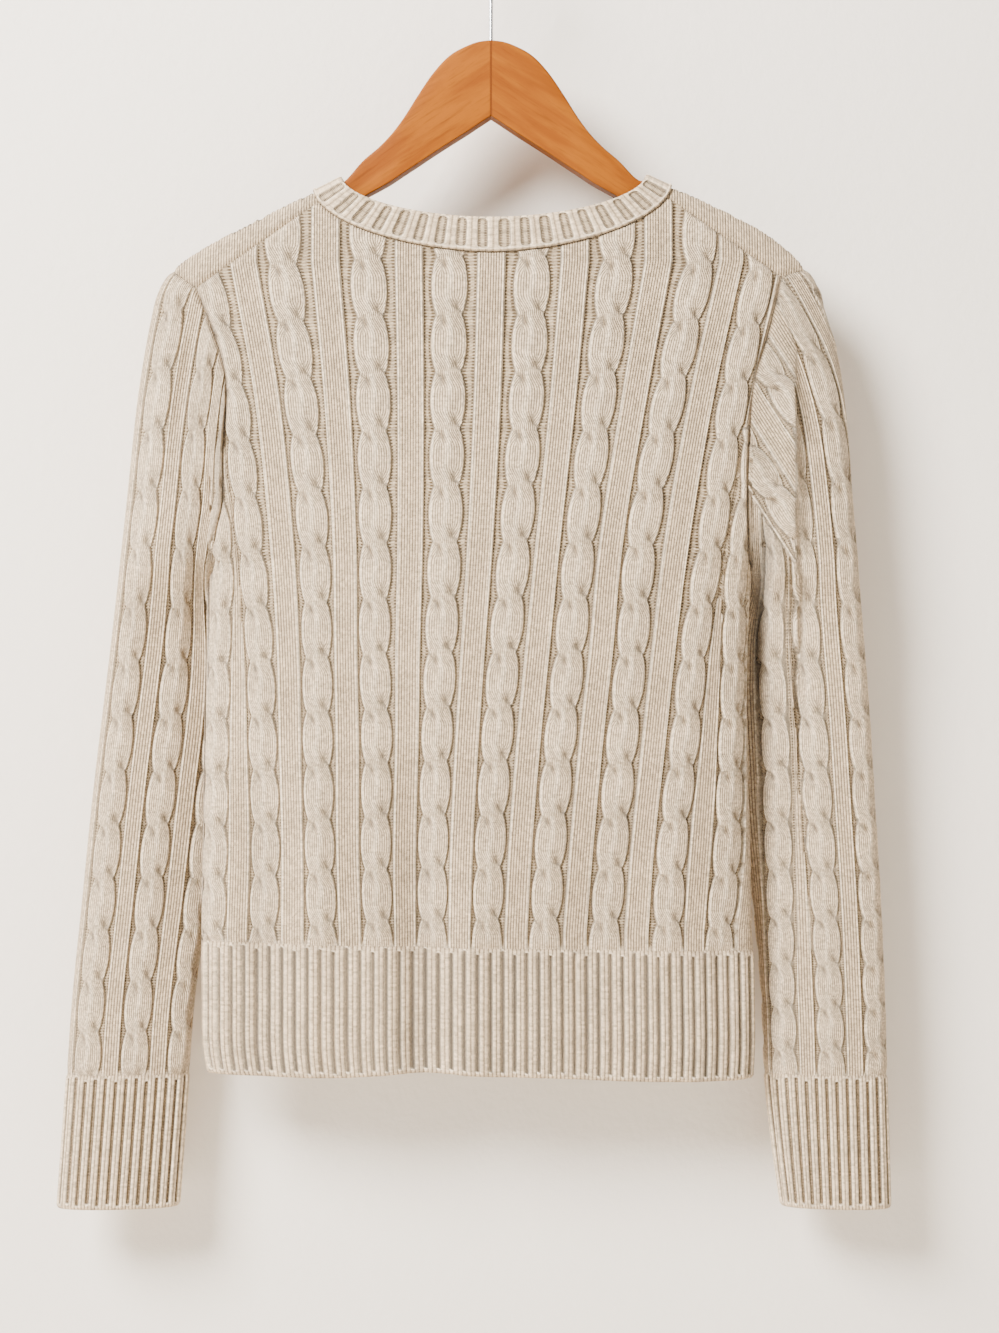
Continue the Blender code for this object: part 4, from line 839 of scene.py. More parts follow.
# Two strands that cross once a repeat: height as a share, wale across the cable, shade beside a
# strand, and crest
def twist(share, phase):
    width = waistAt(phase)
    near = np.minimum(phase, 1 - phase)
    parted = ease(near / cables["partedAfter"])
    middle = cables["apart"] * width * parted

    def crossed(since, reach):
        return np.exp(-((since / reach) ** 2))

    over, overFor, under, underFor = (cables[key] for key in ("over", "overFor", "under", "underFor"))
    highRight = 1 + over * crossed(phase, overFor) - under * crossed(1 - phase, underFor)
    highLeft = 1 + over * crossed(1 - phase, overFor) - under * crossed(phase, underFor)
    inner = width * (0.55 + 0.42 * np.exp(-((near / 0.06) ** 2)) + 0.65 * parted**2)

    def rounded(x, inwards):
        reach = np.where(inwards, inner, width - middle)
        return np.maximum(1 - np.abs(x / reach) ** 3.2, 0) ** 0.5

    offRight, offLeft = share - middle, share + middle
    right = highRight * rounded(offRight, offRight < 0)
    left = highLeft * rounded(offLeft, offLeft > 0)
    blend = 0.03 + 0.25 * parted**2
    height = (right + left + np.sqrt((right - left) ** 2 + blend**2) - blend) / 2
    onRight = right > left
    turns = cables["strandWales"]
    off, start = np.where(onRight, offRight, offLeft), np.where(onRight, turns, -turns) / 2
    wale = off / width * turns / 0.9 + start
    shade = np.zeros(np.shape(share))
    for pit in cables["pits"]:
        across = (share - pit.share - 0.7 * (phase - pit.phase)) / pit.width
        shade += pit.depth * np.exp(-(across**2) - ((phase - pit.phase) / pit.length) ** 2)
    crest = crestAt(share, phase) + 0.55 * crestAt(-share, 1 - phase)
    return height + cables["crest"] * crest, wale, np.clip(shade, 0, 1), crest


# Where the right sleeve's cloth slants: which points, and their places across and along its columns
def slanting(points):
    _, _, x, side = sleevePoints("right", points)
    right, down = slant["run"]
    across, along = down * x - right * points[:, 1], right * x + down * points[:, 1]
    border = np.interp(points[:, 1], *zip(*slant["border"]))
    within = (x < border) & (across > slant["end"]) & (points[:, 1] > slant["from"])
    return (side == back) & within, across, along


# Half widths of a cable and of the panel beside it, from the spacings around
def halfWidths(piece, spacing, gap, drop, line):
    if piece == "body":
        half = cables["half"] + cables["growth"] * (spacing - cables["usualSpacing"])
        panelHalf = cables["panelHalf"] + cables["panelGrowth"] * (gap - cables["usualSpacing"])
        return half, np.minimum(panelHalf, gap / 2 - half - cables["leastGroove"])
    half = np.full(np.shape(gap), sleeveCables["half"])
    if piece == "right":
        narrow = np.interp(drop, *zip(*sleeveCables["shift"])) / 10
        half = half + (sleeveCables["shiftedHalf"] - half) * narrow * (np.asarray(line) == 1)
    return half, gap / 2 - half - sleeveCables["groove"]


Spot = namedtuple("Spot", "u spine gap half panelHalf count length outermost")


# Each point's nearest cable: the point's place across the columns, the cable's middle line there, the
# gap to the next one, the half widths of cable and panel, and the repeat with its length. The panel
# beyond an outermost cable goes on to the side.
def nearestCable(piece, points):
    u, drop = points[:, 0], points[:, 1]
    lines = middles(piece, drop)
    rows = np.arange(len(u))
    turned = np.zeros(len(u), bool)
    if piece == "right":
        turned, across, along = slanting(points)
        u = np.where(turned, across, u)
        aside = slant["cable"] + slant["spacing"] * (np.arange(lines.shape[1]) - slant["number"])
        lines = np.where(turned[:, None], aside[None, :], lines)
    near = np.abs(u[:, None] - lines).argmin(axis=1)
    spine = lines[rows, near]
    last = lines.shape[1] - 1
    gaps = np.diff(lines, axis=1)
    after, before = gaps[rows, np.clip(near, 0, last - 1)], gaps[rows, np.clip(near - 1, 0, last - 1)]
    right = u > spine
    gap = np.where(right, after, before)
    half, panelHalf = halfWidths(piece, (after + before) / 2, gap, drop, near)
    half = np.where(turned, slant["half"], half)
    panelHalf = np.where(turned, slant["spacing"] / 2 - slant["half"] - slant["groove"], panelHalf)
    count, length = repeats(piece, spine, drop)
    if piece == "right":
        count = np.where(turned, (along - slant["crossing"]) / slant["step"], count)
    outermost = (right & (near == last)) | (~right & (near == 0))
    return Spot(u, spine, gap, half, panelHalf, count, length.mean(), outermost)


# How much painted shade the pocket under the right sleeve's fold gets
def hollowAt(points):
    x, drop = sleevePoints("right", points)[2], points[:, 1]
    below = np.where(drop > hollow["drop"], hollow["height"] / hollow["tail"], hollow["height"])
    off = ((x - hollow["x"]) / hollow["width"]) ** 2 + ((drop - hollow["drop"]) / below) ** 2
    return np.exp(-off) * (points[:, 0] < sleeves["girth"] / 2)


# Everything the knit shows at these points of a piece: height in mm, wale and course numbers, and
# how much each point gets of the grooves' painted shade, the painted highlight of edge wales and
# crests, the painted shade of a pit or that of the sleeve's pocket
def knitAt(piece, points, hand):
    spot = nearestCable(piece, points)
    fromSpine, width = spot.u - spot.spine, waistAt(spot.count % 1)
    share = fromSpine / spot.half * hand
    height, cableWale, pit, crest = twist(share, spot.count % 1)
    edge = np.abs(share) / width
    onCable = edge < 1.02
    cableWale = (cableWale - cables["strandWales"] * np.floor(spot.count)) * hand
    rim = np.exp(-(((edge - cables["rimAt"]) / 0.06) ** 2))
    beyond = np.abs(fromSpine) - spot.gap / 2  # from the panel's middle line
    across = beyond / np.maximum(spot.panelHalf, 0.5)
    ends = ~(spot.outermost & (across > 0))
    onPanel = ((np.abs(across) < 1.04) | ~ends) & (spot.panelHalf > 1)
    lip = np.exp(-(((np.abs(across) - cables["lipAt"]) / 0.07) ** 2)) * ends
    panelWale = np.sign(fromSpine) * beyond / cables["walePitch"]
    room = np.maximum(spot.gap / 2 - spot.panelHalf - spot.half * width, 0.4)
    inGroove = np.clip((np.abs(fromSpine) - spot.half * width) / room, 0, 1)
    cableHeight = cables["height"] * height + cables["rim"] * rim
    panelHeight = cables["panelHeight"] + cables["panelLip"] * lip
    # painted highlight: edge wales, crests, and the whole cable a little lighter than the panels
    bright = np.maximum(rim, cables["bright"] + cables["brightCrest"] * crest)
    shown = {
        "height": np.where(edge < 1, cableHeight, np.where(onPanel, panelHeight, -cables["sunk"])),
        "wale": np.where(onCable, cableWale, np.where(onPanel, panelWale, inGroove)),
        "course": spot.count * spot.length / cables["course"],
        "groove": np.where(onCable, edge > 0.985, ~onPanel).astype(float),
        "rim": np.where(onCable, bright, np.where(onPanel, lip, 0)),
        "pit": np.where(onCable, pit, 0),
        "hollow": hollowAt(points) if piece == "right" else np.zeros(len(points)),
    }
    if piece != "body":
        flatTop, over = sleeveCables["flatTop"]
        shown["height"] = shown["height"] * (0.3 + 0.7 * ease((points[:, 1] - flatTop) / over))
    return shown


# Points across the cloth at one drop, close together where the relief is steep
def rowPoints(piece, drop):
    at = np.array([drop])
    lines = middles(piece, at)[0]
    gaps = np.diff(lines)
    last = len(lines) - 1
    row = []
    for k, spine in enumerate(lines):
        around = [gaps[j] for j in (k - 1, k) if 0 <= j < last]
        gap = gaps[min(k, last - 1)]
        half, panelHalf = (float(w) for w in halfWidths(piece, sum(around) / len(around), gap, drop, k))
        reach = half * waistAt(repeats(piece, np.array([spine]), at)[0][0] % 1)
        row += [spine + reach * share for share in oval]
        if k == last:
            row += [spine + reach + away for away in beyondLast]
            continue
        centre = spine + gap / 2
        if panelHalf > 1:
            row += [centre + panelHalf * share for share in flat]
            room = gap / 2 - reach - panelHalf
            if room > 1.5:
                row += [centre - panelHalf - room / 2, centre + panelHalf + room / 2]
        else:
            row.append(centre)
    return [(u, drop) for u in row]


# Even points take the place of the rows' where the right sleeve's columns slant across the rows
def slantedGrid(points):
    turned = slanting(points)[0]
    low, high = points[turned].min(axis=0), points[turned].max(axis=0)
    step = slant["grid"]
    fine = []
    for i, v in enumerate(np.arange(low[1], high[1], step * 0.87)):
        fine += [(u + step / 2 * (i % 2), v) for u in np.arange(low[0], high[0] + 3, step)]
    fine = np.array(fine)
    points = np.vstack([points[~turned], fine[slanting(fine)[0]]])
    tree = treeOf(points)
    found = [tree.find_range((u, v, 0), slant["nearest"]) for u, v in points]
    return points[[i for i, around in enumerate(found) if not any(j < i for _, j, _ in around)]]


# Points that follow the cables and panels in rows, over the whole of an outline's height
def knitGrid(piece, outline, rowStep):
    drops = np.arange(outline[:, 1].min(), outline[:, 1].max(), rowStep)
    points = np.array([point for drop in drops for point in rowPoints(piece, drop)])
    return slantedGrid(points) if piece == "right" else points


# Meshes of the cloth


# Which points lie within a closed outline
def inside(points, outline):
    ax, ay = outline[:, 0][None, :], outline[:, 1][None, :]
    bx, by = np.roll(ax, -1, axis=1), np.roll(ay, -1, axis=1)
    found = []
    for part in np.array_split(points, max(1, len(points) // 4000)):
        x, y = part[:, 0][:, None], part[:, 1][:, None]
        spans = (ay > y) != (by > y)
        with np.errstate(divide="ignore", invalid="ignore"):
            crosses = spans & (x < (bx - ax) * (y - ay) / (by - ay) + ax)
        found.append(crosses.sum(axis=1) % 2 == 1)
    return np.concatenate(found)


# The outline with its long edges cut into short ones
def cutFine(outline, longest):
    fine = []
    for start, end in zip(outline, np.roll(outline, -1, axis=0)):
        pieces = max(1, math.ceil(np.linalg.norm(end - start) / longest))
        fine += [start + (end - start) * i / pieces for i in range(pieces)]
    return np.array(fine)


def treeOf(points):
    tree = kdtree.KDTree(len(points))
    for i, (u, v) in enumerate(points):
        tree.insert((u, v, 0), i)
    tree.balance()
    return tree


# Distance of each point from the outline's nearest point
def fromEdge(points, outline):
    tree = treeOf(outline)
    return np.array([tree.find((u, v, 0))[2] for u, v in points])


# A mesh in metres, with the knit's wale and course as its uv map and its masks of painted shade and
# highlight as a colour. The shading breaks along the cut edge.
def clothMesh(name, verts, faces, corners, knit, look, cut):
    mesh = bpy.data.meshes.new(name)
    mesh.from_pydata(np.asarray(verts) * mm, [], faces)
    uv = mesh.uv_layers.new(name="knit")
    uv.data.foreach_set("uv", np.stack([knit["wale"], knit["course"]], axis=1)[corners].ravel())
    tone = mesh.color_attributes.new("tone", "FLOAT_COLOR", "CORNER")
    parts = [knit[key] for key in ("groove", "rim", "pit", "hollow")]
    tone.data.foreach_set("color", np.stack(parts, axis=1)[corners].ravel())
    mesh.update()
    mesh.shade_smooth()
    ends = np.empty(2 * len(mesh.edges), int)
    mesh.edges.foreach_get("vertices", ends)
    onCut = np.zeros(len(verts), bool)
    onCut[cut] = True
    sharp = mesh.attributes.new("sharp_edge", "BOOLEAN", "EDGE")
    sharp.data.foreach_set("value", onCut[ends].reshape(-1, 2).all(axis=1))
    mesh.materials.append(look)
    return addObject(name, mesh)


# Points of the plain inner face, on a coarse grid well inside the outline
def liningPoints(outline):
    step = panels["liningStep"]
    lows, highs = outline.min(axis=0), outline.max(axis=0)
    across, down = np.arange(lows[0], highs[0], step), np.arange(lows[1], highs[1], step)
    lining = np.array([(u, v) for v in down for u in across])
    lining = lining[inside(lining, outline)]
    return lining[fromEdge(lining, outline) > panels["liningRoom"]]


# The relief dips at a seam and gets painted shade there, less so over the shoulder, and evens out towards
# the ribs
def easeSeams(tones, points, outline, ribTop):
    toRib = ribTop(points) - points[:, 1]
    onSeam = outline[ribTop(outline) - outline[:, 1] > 4]
    rise = ease(fromEdge(points, onSeam) / cloth["seamEase"])
    free = ease(toRib / cloth["ribEase"])
    tones["height"] = tones["height"] * free + cloth["ribMeet"] * (1 - free)
    tones["height"] = tones["height"] * rise - cloth["seamDip"] * (1 - rise)
    tones["groove"] = tones["groove"] * ease((toRib - 0.5) / 2)
    shoulder, below = cloth["shoulder"]
    atShoulder = 1 - ease((points[:, 1] - shoulder) / below)
    # painted shade along the seams, fainter over the shoulder
    tones["pit"] = np.maximum(tones["pit"], (1 - rise) * (1 - 0.8 * atShoulder))
    tones["rim"] = tones["rim"] * rise
    return tones


# Triangles of both faces and of the cut edge between them, which joined edges don't have
def shellFaces(outline, outerFlat, innerFlat, seamPoints):
    count, offset = len(outline), len(outerFlat)
    faces = list(triangulate(outerFlat, count))
    faces += [[i + offset for i in reversed(face)] for face in triangulate(innerFlat, count, 0.6)]
    area = twiceArea(outline)
    for i in range(count):
        j = (i + 1) % count
        if i in seamPoints and j in seamPoints and outline[i, 0] == outline[j, 0]:
            continue
        quad = [[i, j, j + offset], [i, j + offset, i + offset]]
        faces += quad if area > 0 else [face[::-1] for face in quad]
    return faces


# A wall over a flat pattern: a fine knit outer face, a plain inner one, and its cut edge
def clothShell(name, outline, grid, knitHere, place, mirrored, ribTop, joined=(), side=0):
    outline = np.array(outline)
    grid = grid[inside(grid, outline)]
    grid = grid[fromEdge(grid, outline) > panels["edgeRoom"]]
    outerFlat, innerFlat = np.vstack([outline, grid]), np.vstack([outline, liningPoints(outline)])
    tones = easeSeams(knitHere(outerFlat), outerFlat, outline, ribTop)
    inner = {key: np.zeros(len(innerFlat)) for key in tones}
    inner["wale"], inner["course"] = innerFlat[:, 0] / 2.4, innerFlat[:, 1] / cables["course"]
    tones = {key: np.concatenate([tones[key], inner[key]]) for key in tones}
    onOuter, out = place(outerFlat)
    onInner, innerOut = place(innerFlat)
    heights = tones["height"][: len(outerFlat), None]
    verts = np.vstack([onOuter + out * heights, onInner - innerOut * cloth["wall"]])
    if side:
        verts = stayOnSide(verts, side)
    seamPoints = {i for pair in joined for i in pair}
    faces = shellFaces(outline, outerFlat, innerFlat, seamPoints)
    if mirrored:
        faces = [face[::-1] for face in faces]
    corners = np.array(faces).ravel()
    same = np.arange(len(verts))
    offset = len(outerFlat)
    for a, b in joined:
        same[b], same[b + offset] = a, a + offset
    used, compact = np.unique(same[corners], return_inverse=True)
    edge = np.searchsorted(used, range(len(outline)))
    cut = [i for i in edge if used[i] < len(outline) and used[i] not in seamPoints]
    return clothMesh(name, verts[used], compact.reshape(-1, 3), corners, tones, knit, cut)


# Materials

knitLook = {
    "yarn": (0.535, 0.402, 0.256),
    "light": (0.850, 0.692, 0.488),  # painted highlight: edge wales and crests, which catch the light
    "groove": (0.285, 0.206, 0.120),
    # painted shade in the grooves, lighter on their rungs, and darkest in their holes
    "rung": (0.400, 0.308, 0.198),
    "hole": (0.070, 0.044, 0.020),
    # painted shade in the pits beside crossings, along seams and under the neckband's raised line
    "pit": (0.135, 0.092, 0.048),
    "gap": (0.100, 0.066, 0.033),  # painted shade between two wales
    "lines": 1.0,  # how much those gaps show low on the garment
    "stretchedLines": 1.2,  # and high up, where its cloth is stretched
    "stretchedFrom": (-0.44, -0.27),  # between these heights, in metres
    "holes": 0.72,  # a course
    "roughness": 0.9,
    "sheen": 0.12,
    "stitchDepth": 0.6,  # mm
    "mottling": 0.06,
    "blotches": 38.0,
    "fuzz": 640.0,
    "grain": 1.5,  # how much the fuzz shows
    "heather": 0.48,  # how much single stitches differ
    "hollow": 0.72,  # painted shade: how dark the pocket under the sleeve's fold and the folds' troughs get
}


# Chains shader nodes: most calls add one node and return its first output
class Nodes:
    def __init__(self, name):
        self.material = bpy.data.materials.new(name)
        self.material.use_nodes = True
        self.tree = self.material.node_tree
        self.shader = self.tree.nodes["Principled BSDF"]

    def add(self, kind):
        return self.tree.nodes.new("ShaderNode" + kind)

    def put(self, socket, value):
        if isinstance(value, bpy.types.NodeSocket):
            self.tree.links.new(value, socket)
        elif value is not None:
            socket.default_value = value

    def math(self, operation, a, b=None, c=None, clamp=False):
        node = self.add("Math")
        node.operation = operation
        node.use_clamp = clamp
        for socket, value in zip(node.inputs, (a, b, c)):
            self.put(socket, value)
        return node.outputs[0]

    def times(self, a, b, clamp=False):
        return self.math("MULTIPLY", a, b, clamp=clamp)

    def timesPlus(self, a, b, c):
        return self.math("MULTIPLY_ADD", a, b, c)

    def mix(self, share, a, b, blend="MIX"):
        node = self.add("Mix")
        node.data_type = "RGBA"
        node.blend_type = blend
        self.put(node.inputs[0], share)
        for socket, value in zip((node.inputs[6], node.inputs[7]), (a, b)):
            self.put(socket, (*value, 1) if isinstance(value, tuple) else value)
        return node.outputs[2]

    def node(self, kind, output=0, settings=None, **inputs):
        node = self.add(kind)
        for key, value in (settings or {}).items():
            setattr(node, key, value)
        for key, value in inputs.items():
            self.put(node.inputs[key], value)
        return node.outputs[output]

    def ramp(self, value, low, high, fromLow=0.0, toHigh=1.0):
        node = self.add("MapRange")
        node.interpolation_type = "SMOOTHSTEP"
        for socket, setting in zip(node.inputs, (value, low, high, fromLow, toHigh)):
            self.put(socket, setting)
        return node.outputs[0]

    # The places of a point or normal along x, y and z
    def split(self, vector):
        node = self.add("SeparateXYZ")
        self.put(node.inputs[0], vector)
        return node.outputs

    def give(self, name, value):
        self.put(self.shader.inputs[name], value)

    def bump(self, height, strength, distance):
        node = self.add("Bump")
        self.put(node.inputs["Strength"], strength)
        self.put(node.inputs["Distance"], distance)
        self.put(node.inputs["Height"], height)
        self.give("Normal", node.outputs[0])


# A wale is a rounded ridge of stitches, each with two legs that lean together. Its relief, and how much
# painted shade the gaps beside it get
def knitStitches(n, wale, course):
    off = n.times(n.math("ABSOLUTE", n.math("SUBTRACT", n.math("FRACT", wale), 0.5)), 2.0)
    crest = n.math("SUBTRACT", 1.0, n.math("POWER", off, 2.6))
    lean = n.times(n.timesPlus(off, 0.6, course), math.pi)
    legs = n.math("POWER", n.math("ABSOLUTE", n.math("SINE", lean)), 0.5)
    stitch = n.times(crest, n.timesPlus(legs, 0.35, 0.65))
    return stitch, n.times(n.ramp(off, 0.42, 1.0), n.timesPlus(legs, -0.5, 1.2), clamp=True)


# A groove holds slanting rungs, with a row of holes along either side whose dark is painted shade
def knitRungs(n, wale, course, look):
    rungs = n.math("ABSOLUTE", n.math("SINE", n.times(n.timesPlus(wale, 1.1, course), 2.4)))
    beat = n.math("SUBTRACT", n.math("FRACT", n.times(course, look["holes"])), 0.5)
    around = n.times(n.times(beat, beat), 8.0)
    aside = n.math("SUBTRACT", n.math("ABSOLUTE", n.math("SUBTRACT", wale, 0.5)), 0.33)
    fromHole = n.timesPlus(n.times(aside, aside), 26.0, around)
    return n.ramp(rungs, 0.35, 0.9), n.ramp(fromHole, 0.2, 1.25, 1.0, 0.0)


# How light the yarn is, in blotches, in its fuzz and from stitch to stitch, with painted shade in the
# sleeve's pocket and the folds' troughs
def yarnShade(n, wale, course, place, fuzz, hollowed, look):
    single = n.add("CombineXYZ")
    n.put(single.inputs[0], n.math("FLOOR", wale))
    n.put(single.inputs[1], n.math("FLOOR", course))
    heather = n.node("TexWhiteNoise", Vector=single.outputs[0])
    blotch = n.node("TexNoise", Vector=place, Scale=look["blotches"], Detail=3.0)
    shade = n.times(n.ramp(blotch, 0.3, 0.7, 1 - look["mottling"], 1 + look["mottling"]),
                    n.timesPlus(fuzz, look["grain"], 1 - look["grain"] / 2))
    shade = n.times(shade, n.timesPlus(heather, look["heather"], 1 - look["heather"] / 2))
    # painted shade in the sleeve's pocket and the folds' troughs
    shade = n.times(shade, n.timesPlus(hollowed, -look["hollow"], 1.0))
    return n.node("CombineColor", Red=shade, Green=shade, Blue=shade)


def makeKnit(name, look=knitLook):
    n = Nodes(name)
    wale, course, _ = n.split(n.node("UVMap", settings={"uv_map": "knit"}))
    toneNode = n.add("VertexColor")
    toneNode.layer_name = "tone"
    tone = n.add("SeparateColor")
    n.put(tone.inputs[0], toneNode.outputs["Color"])
    groove, rim, pit = tone.outputs
    place = n.add("TexCoord").outputs["Object"]
    stretched = n.ramp(n.split(place)[2], *look["stretchedFrom"], look["lines"], look["stretchedLines"])
    stitch, gaps = knitStitches(n, wale, course)
    rungs, hole = knitRungs(n, wale, course, look)
    hole = n.times(hole, groove)
    fuzz = n.node("TexNoise", Vector=place, Scale=look["fuzz"], Detail=3.0, Roughness=0.75)
    shade = yarnShade(n, wale, course, place, fuzz, toneNode.outputs["Alpha"], look)
    # painted shade in the gaps between wales, stronger where the cloth is stretched
    yarn = n.mix(n.times(gaps, stretched), look["yarn"], look["gap"])
    # painted highlight on edge wales, crests and cables
    yarn = n.mix(n.times(rim, 0.9, clamp=True), yarn, look["light"])
    # painted shade in the grooves, lighter on the rungs, darkest in the holes
    deep = n.mix(rungs, look["groove"], look["rung"])
    deep = n.mix(n.times(hole, 0.92), deep, look["hole"])
    colour = n.mix(groove, yarn, deep)
    # painted shade in the pits beside crossings, along seams and under the neckband's raised line
    colour = n.mix(n.times(pit, 0.85, clamp=True), colour, look["pit"])
    n.give("Base Color", n.mix(1.0, colour, shade, "MULTIPLY"))
    relief = n.timesPlus(fuzz, 0.45, n.times(stitch, n.timesPlus(stretched, 0.8, 0.2)))
    n.bump(n.math("SUBTRACT", relief, n.times(hole, 0.8)), 1.0, look["stitchDepth"] * mm)
    n.give("Roughness", look["roughness"])
    n.give("Sheen Weight", look["sheen"])
    n.give("Sheen Roughness", 0.5)
    n.give("Specular IOR Level", 0.25)
    return n.material


woodLook = {
    "light": (0.238, 0.068, 0.0024),
    "dark": (0.180, 0.045, 0.0018),
    "vein": (0.105, 0.024, 0.0015),
    "under": (0.150, 0.042, 0.0025),  # its underside: painted shade, darker where the wood faces down
    "roughness": 0.5,
    "specular": 0.09,
    "poreDepth": 0.3,
    "mitre": 0.0004,  # half width of the dark line where the two arms meet
}


# The grain's map runs along the wood first, then across it, in metres
def makeWood(look=woodLook):
    n = Nodes("varnished wood")
    uv = n.node("UVMap", settings={"uv_map": "grain"})

    def streaks(along, across, detail):
        turned = n.add("Mapping")
        n.put(turned.inputs["Vector"], uv)
        turned.inputs["Scale"].default_value = (along, across, 1)
        return n.node("TexNoise", Vector=turned.outputs[0], Scale=1.0, Detail=detail, Roughness=0.55,
                      Distortion=0.4)

    bands, strands, pores = streaks(13, 95, 3.0), streaks(30, 420, 4.0), streaks(120, 1500, 2.0)
    colour = n.mix(n.ramp(bands, 0.36, 0.62), look["dark"], look["light"])
    colour = n.mix(n.ramp(strands, 0.52, 0.74, 0.0, 0.55), colour, look["vein"])
    colour = n.mix(n.ramp(pores, 0.55, 0.75, 0.0, 0.3), colour, look["vein"])
    fromMitre = n.math("ABSOLUTE", n.split(n.add("TexCoord").outputs["Object"])[0])
    colour = n.mix(n.ramp(fromMitre, look["mitre"], look["mitre"] * 2.5, 0.9, 0.0), colour, look["vein"])
    # painted shade on the underside, where the wood faces down
    upwards = n.split(n.add("NewGeometry").outputs["True Normal"])[2]
    colour = n.mix(n.ramp(upwards, -0.75, -0.35, 1.0, 0.0), colour, look["under"])
    n.give("Base Color", colour)
    n.give("Specular IOR Level", look["specular"])
    dull = look["roughness"]
    n.give("Roughness", n.ramp(strands, 0.3, 0.7, dull, dull + 0.12))
    n.bump(pores, 0.15, look["poreDepth"] * mm)
    return n.material


def makeWire():
    n = Nodes("plated wire")
    scratches = n.node("TexNoise", Scale=900.0, Detail=4.0)
    n.give("Base Color", n.mix(scratches, (0.55, 0.55, 0.56), (0.70, 0.70, 0.70)))
    n.give("Metallic", 1.0)
    n.give("Roughness", n.ramp(scratches, 0.3, 0.7, 0.18, 0.34))
    return n.material


knit = makeKnit("oatmeal knit")
# The ribs' grooves take deeper painted shade, the collar's lighter
ribLook = {
    **knitLook,
    "yarn": (0.560, 0.424, 0.273),
    "groove": (0.205, 0.143, 0.080),
    "rung": (0.290, 0.208, 0.122),
    "lines": 0.8,
}
collarLook = {
    **knitLook,
    "yarn": (0.570, 0.432, 0.280),
    "groove": (0.360, 0.268, 0.165),
    "stretchedLines": 0.7,
    "holes": 1.3,
}
ribKnit = makeKnit("oatmeal rib", ribLook)
collarKnit = makeKnit("oatmeal collar", collarLook)
wood = makeWood()
wire = makeWire()
print("materials made")

# Panels and sleeves


def asSheet(piece, node, outline):
    outline = np.array(outline) * mm
    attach(piece, "root")
    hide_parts(node)


# Where the front's cloth comes over the shoulder it is drawn flat, and shows rows more than cables
def panelKnit(points, side):
    found = knitAt("body", points, -side)
    x = xAndDepth(points[:, 0], points[:, 1])[0]
    # painted shade in the troughs of the body's folds
    found["hollow"] = np.clip(-foldHeight(bodyFolds, x * -side, points[:, 1]) * panels["foldShade"], 0, 1)
    if side == front:
        past = points[:, 1] - ridge(points[:, 0])
        drawn = ease(past / panels["drawnFlat"])
        found["wale"] = np.where(past < 0, points[:, 0] / cables["walePitch"], found["wale"])
        found["height"] = 0.5 + (found["height"] - 0.5) * (0.05 + 0.95 * drawn)
        for key in ("groove", "rim", "pit"):
            found[key] = found[key] * (0.1 + 0.9 * drawn)
    return found


def makePanel(name, side):
    left, right = panelHalfOutline("left", side), panelHalfOutline("right", side)
    hemEdge = []
    start, end = right[0][0], left[0][0]
    for i in range(1, panels["hemSteps"]):
        along = start + (end - start) * i / panels["hemSteps"]
        x = float(xAndDepth(along, hem["top"])[0])
        hemEdge.append((along, float(hemTop(x))))
    outline = drawIn(np.array(left + list(neckSeam(side)) + right[::-1] + hemEdge), cloth["seamGap"] / 2)
    grid = knitGrid("body", outline, cables["rowStep"])
    piece = clothShell(name + "Cloth", cutFine(outline, panels["longestEdge"]), grid,
                       lambda p: panelKnit(p, side), lambda p: bodyPlace(p, side), side == front,
                       lambda p: hemTop(np.clip(p[:, 0], -180, 180)), side=side)
    asSheet(piece, name, outline)
    print(name, "panel made,", len(piece.data.polygons), "faces")


def makeSleeve(node, name):
    girth, underarm = sleeves["girth"], float(armhole["underarm"][name][1])
    seam = armholePoints(name, cloth["seamGap"] / 2)
    cap = [(0.0, underarm)]
    for reach, drop in seam[1:-1]:
        cap.append((armholeRound(name, reach, drop) if drop < armhole["turn"] else 0.0, drop))
    cap.append((girth / 2, float(seam[-1, 1])))
    cap += [(girth - u, v) for u, v in cap[-2::-1]]
    rows, columns = sleeves["rows"], sleeves["columns"]
    down = [underarm + (cuffs["top"] - underarm) * i / rows for i in range(1, rows)]
    down.append(cuffs["top"] - cloth["seamGap"] / 2)
    bottom = [(girth * (1 - i / columns), down[-1]) for i in range(1, columns)]
    outline = np.array(cap + [(float(girth), v) for v in down] + bottom + [(0.0, v) for v in down[::-1]])
    rightStart = len(cap)
    leftStart = rightStart + rows + len(bottom)
    joined = [(0, len(cap) - 1)]
    joined += [(leftStart + rows - 1 - i, rightStart + i) for i in range(rows)]
    grid = knitGrid(name, outline, sleeveCables["rowStep"])
    hand = signOf(name)
    piece = clothShell(node + "Cloth", outline, grid, lambda p: knitAt(name, p, hand),
                       lambda p: sleevePlace(name, p), name == "left",
                       lambda p: np.full(len(p), float(cuffs["top"])), joined)
    asSheet(piece, node, outline)
    print(node, "made,", len(piece.data.polygons), "faces")


makePanel("back", back)
makePanel("front", front)
makeSleeve("sleeve_left", "left")
makeSleeve("sleeve_right", "right")

# Ribbed bands


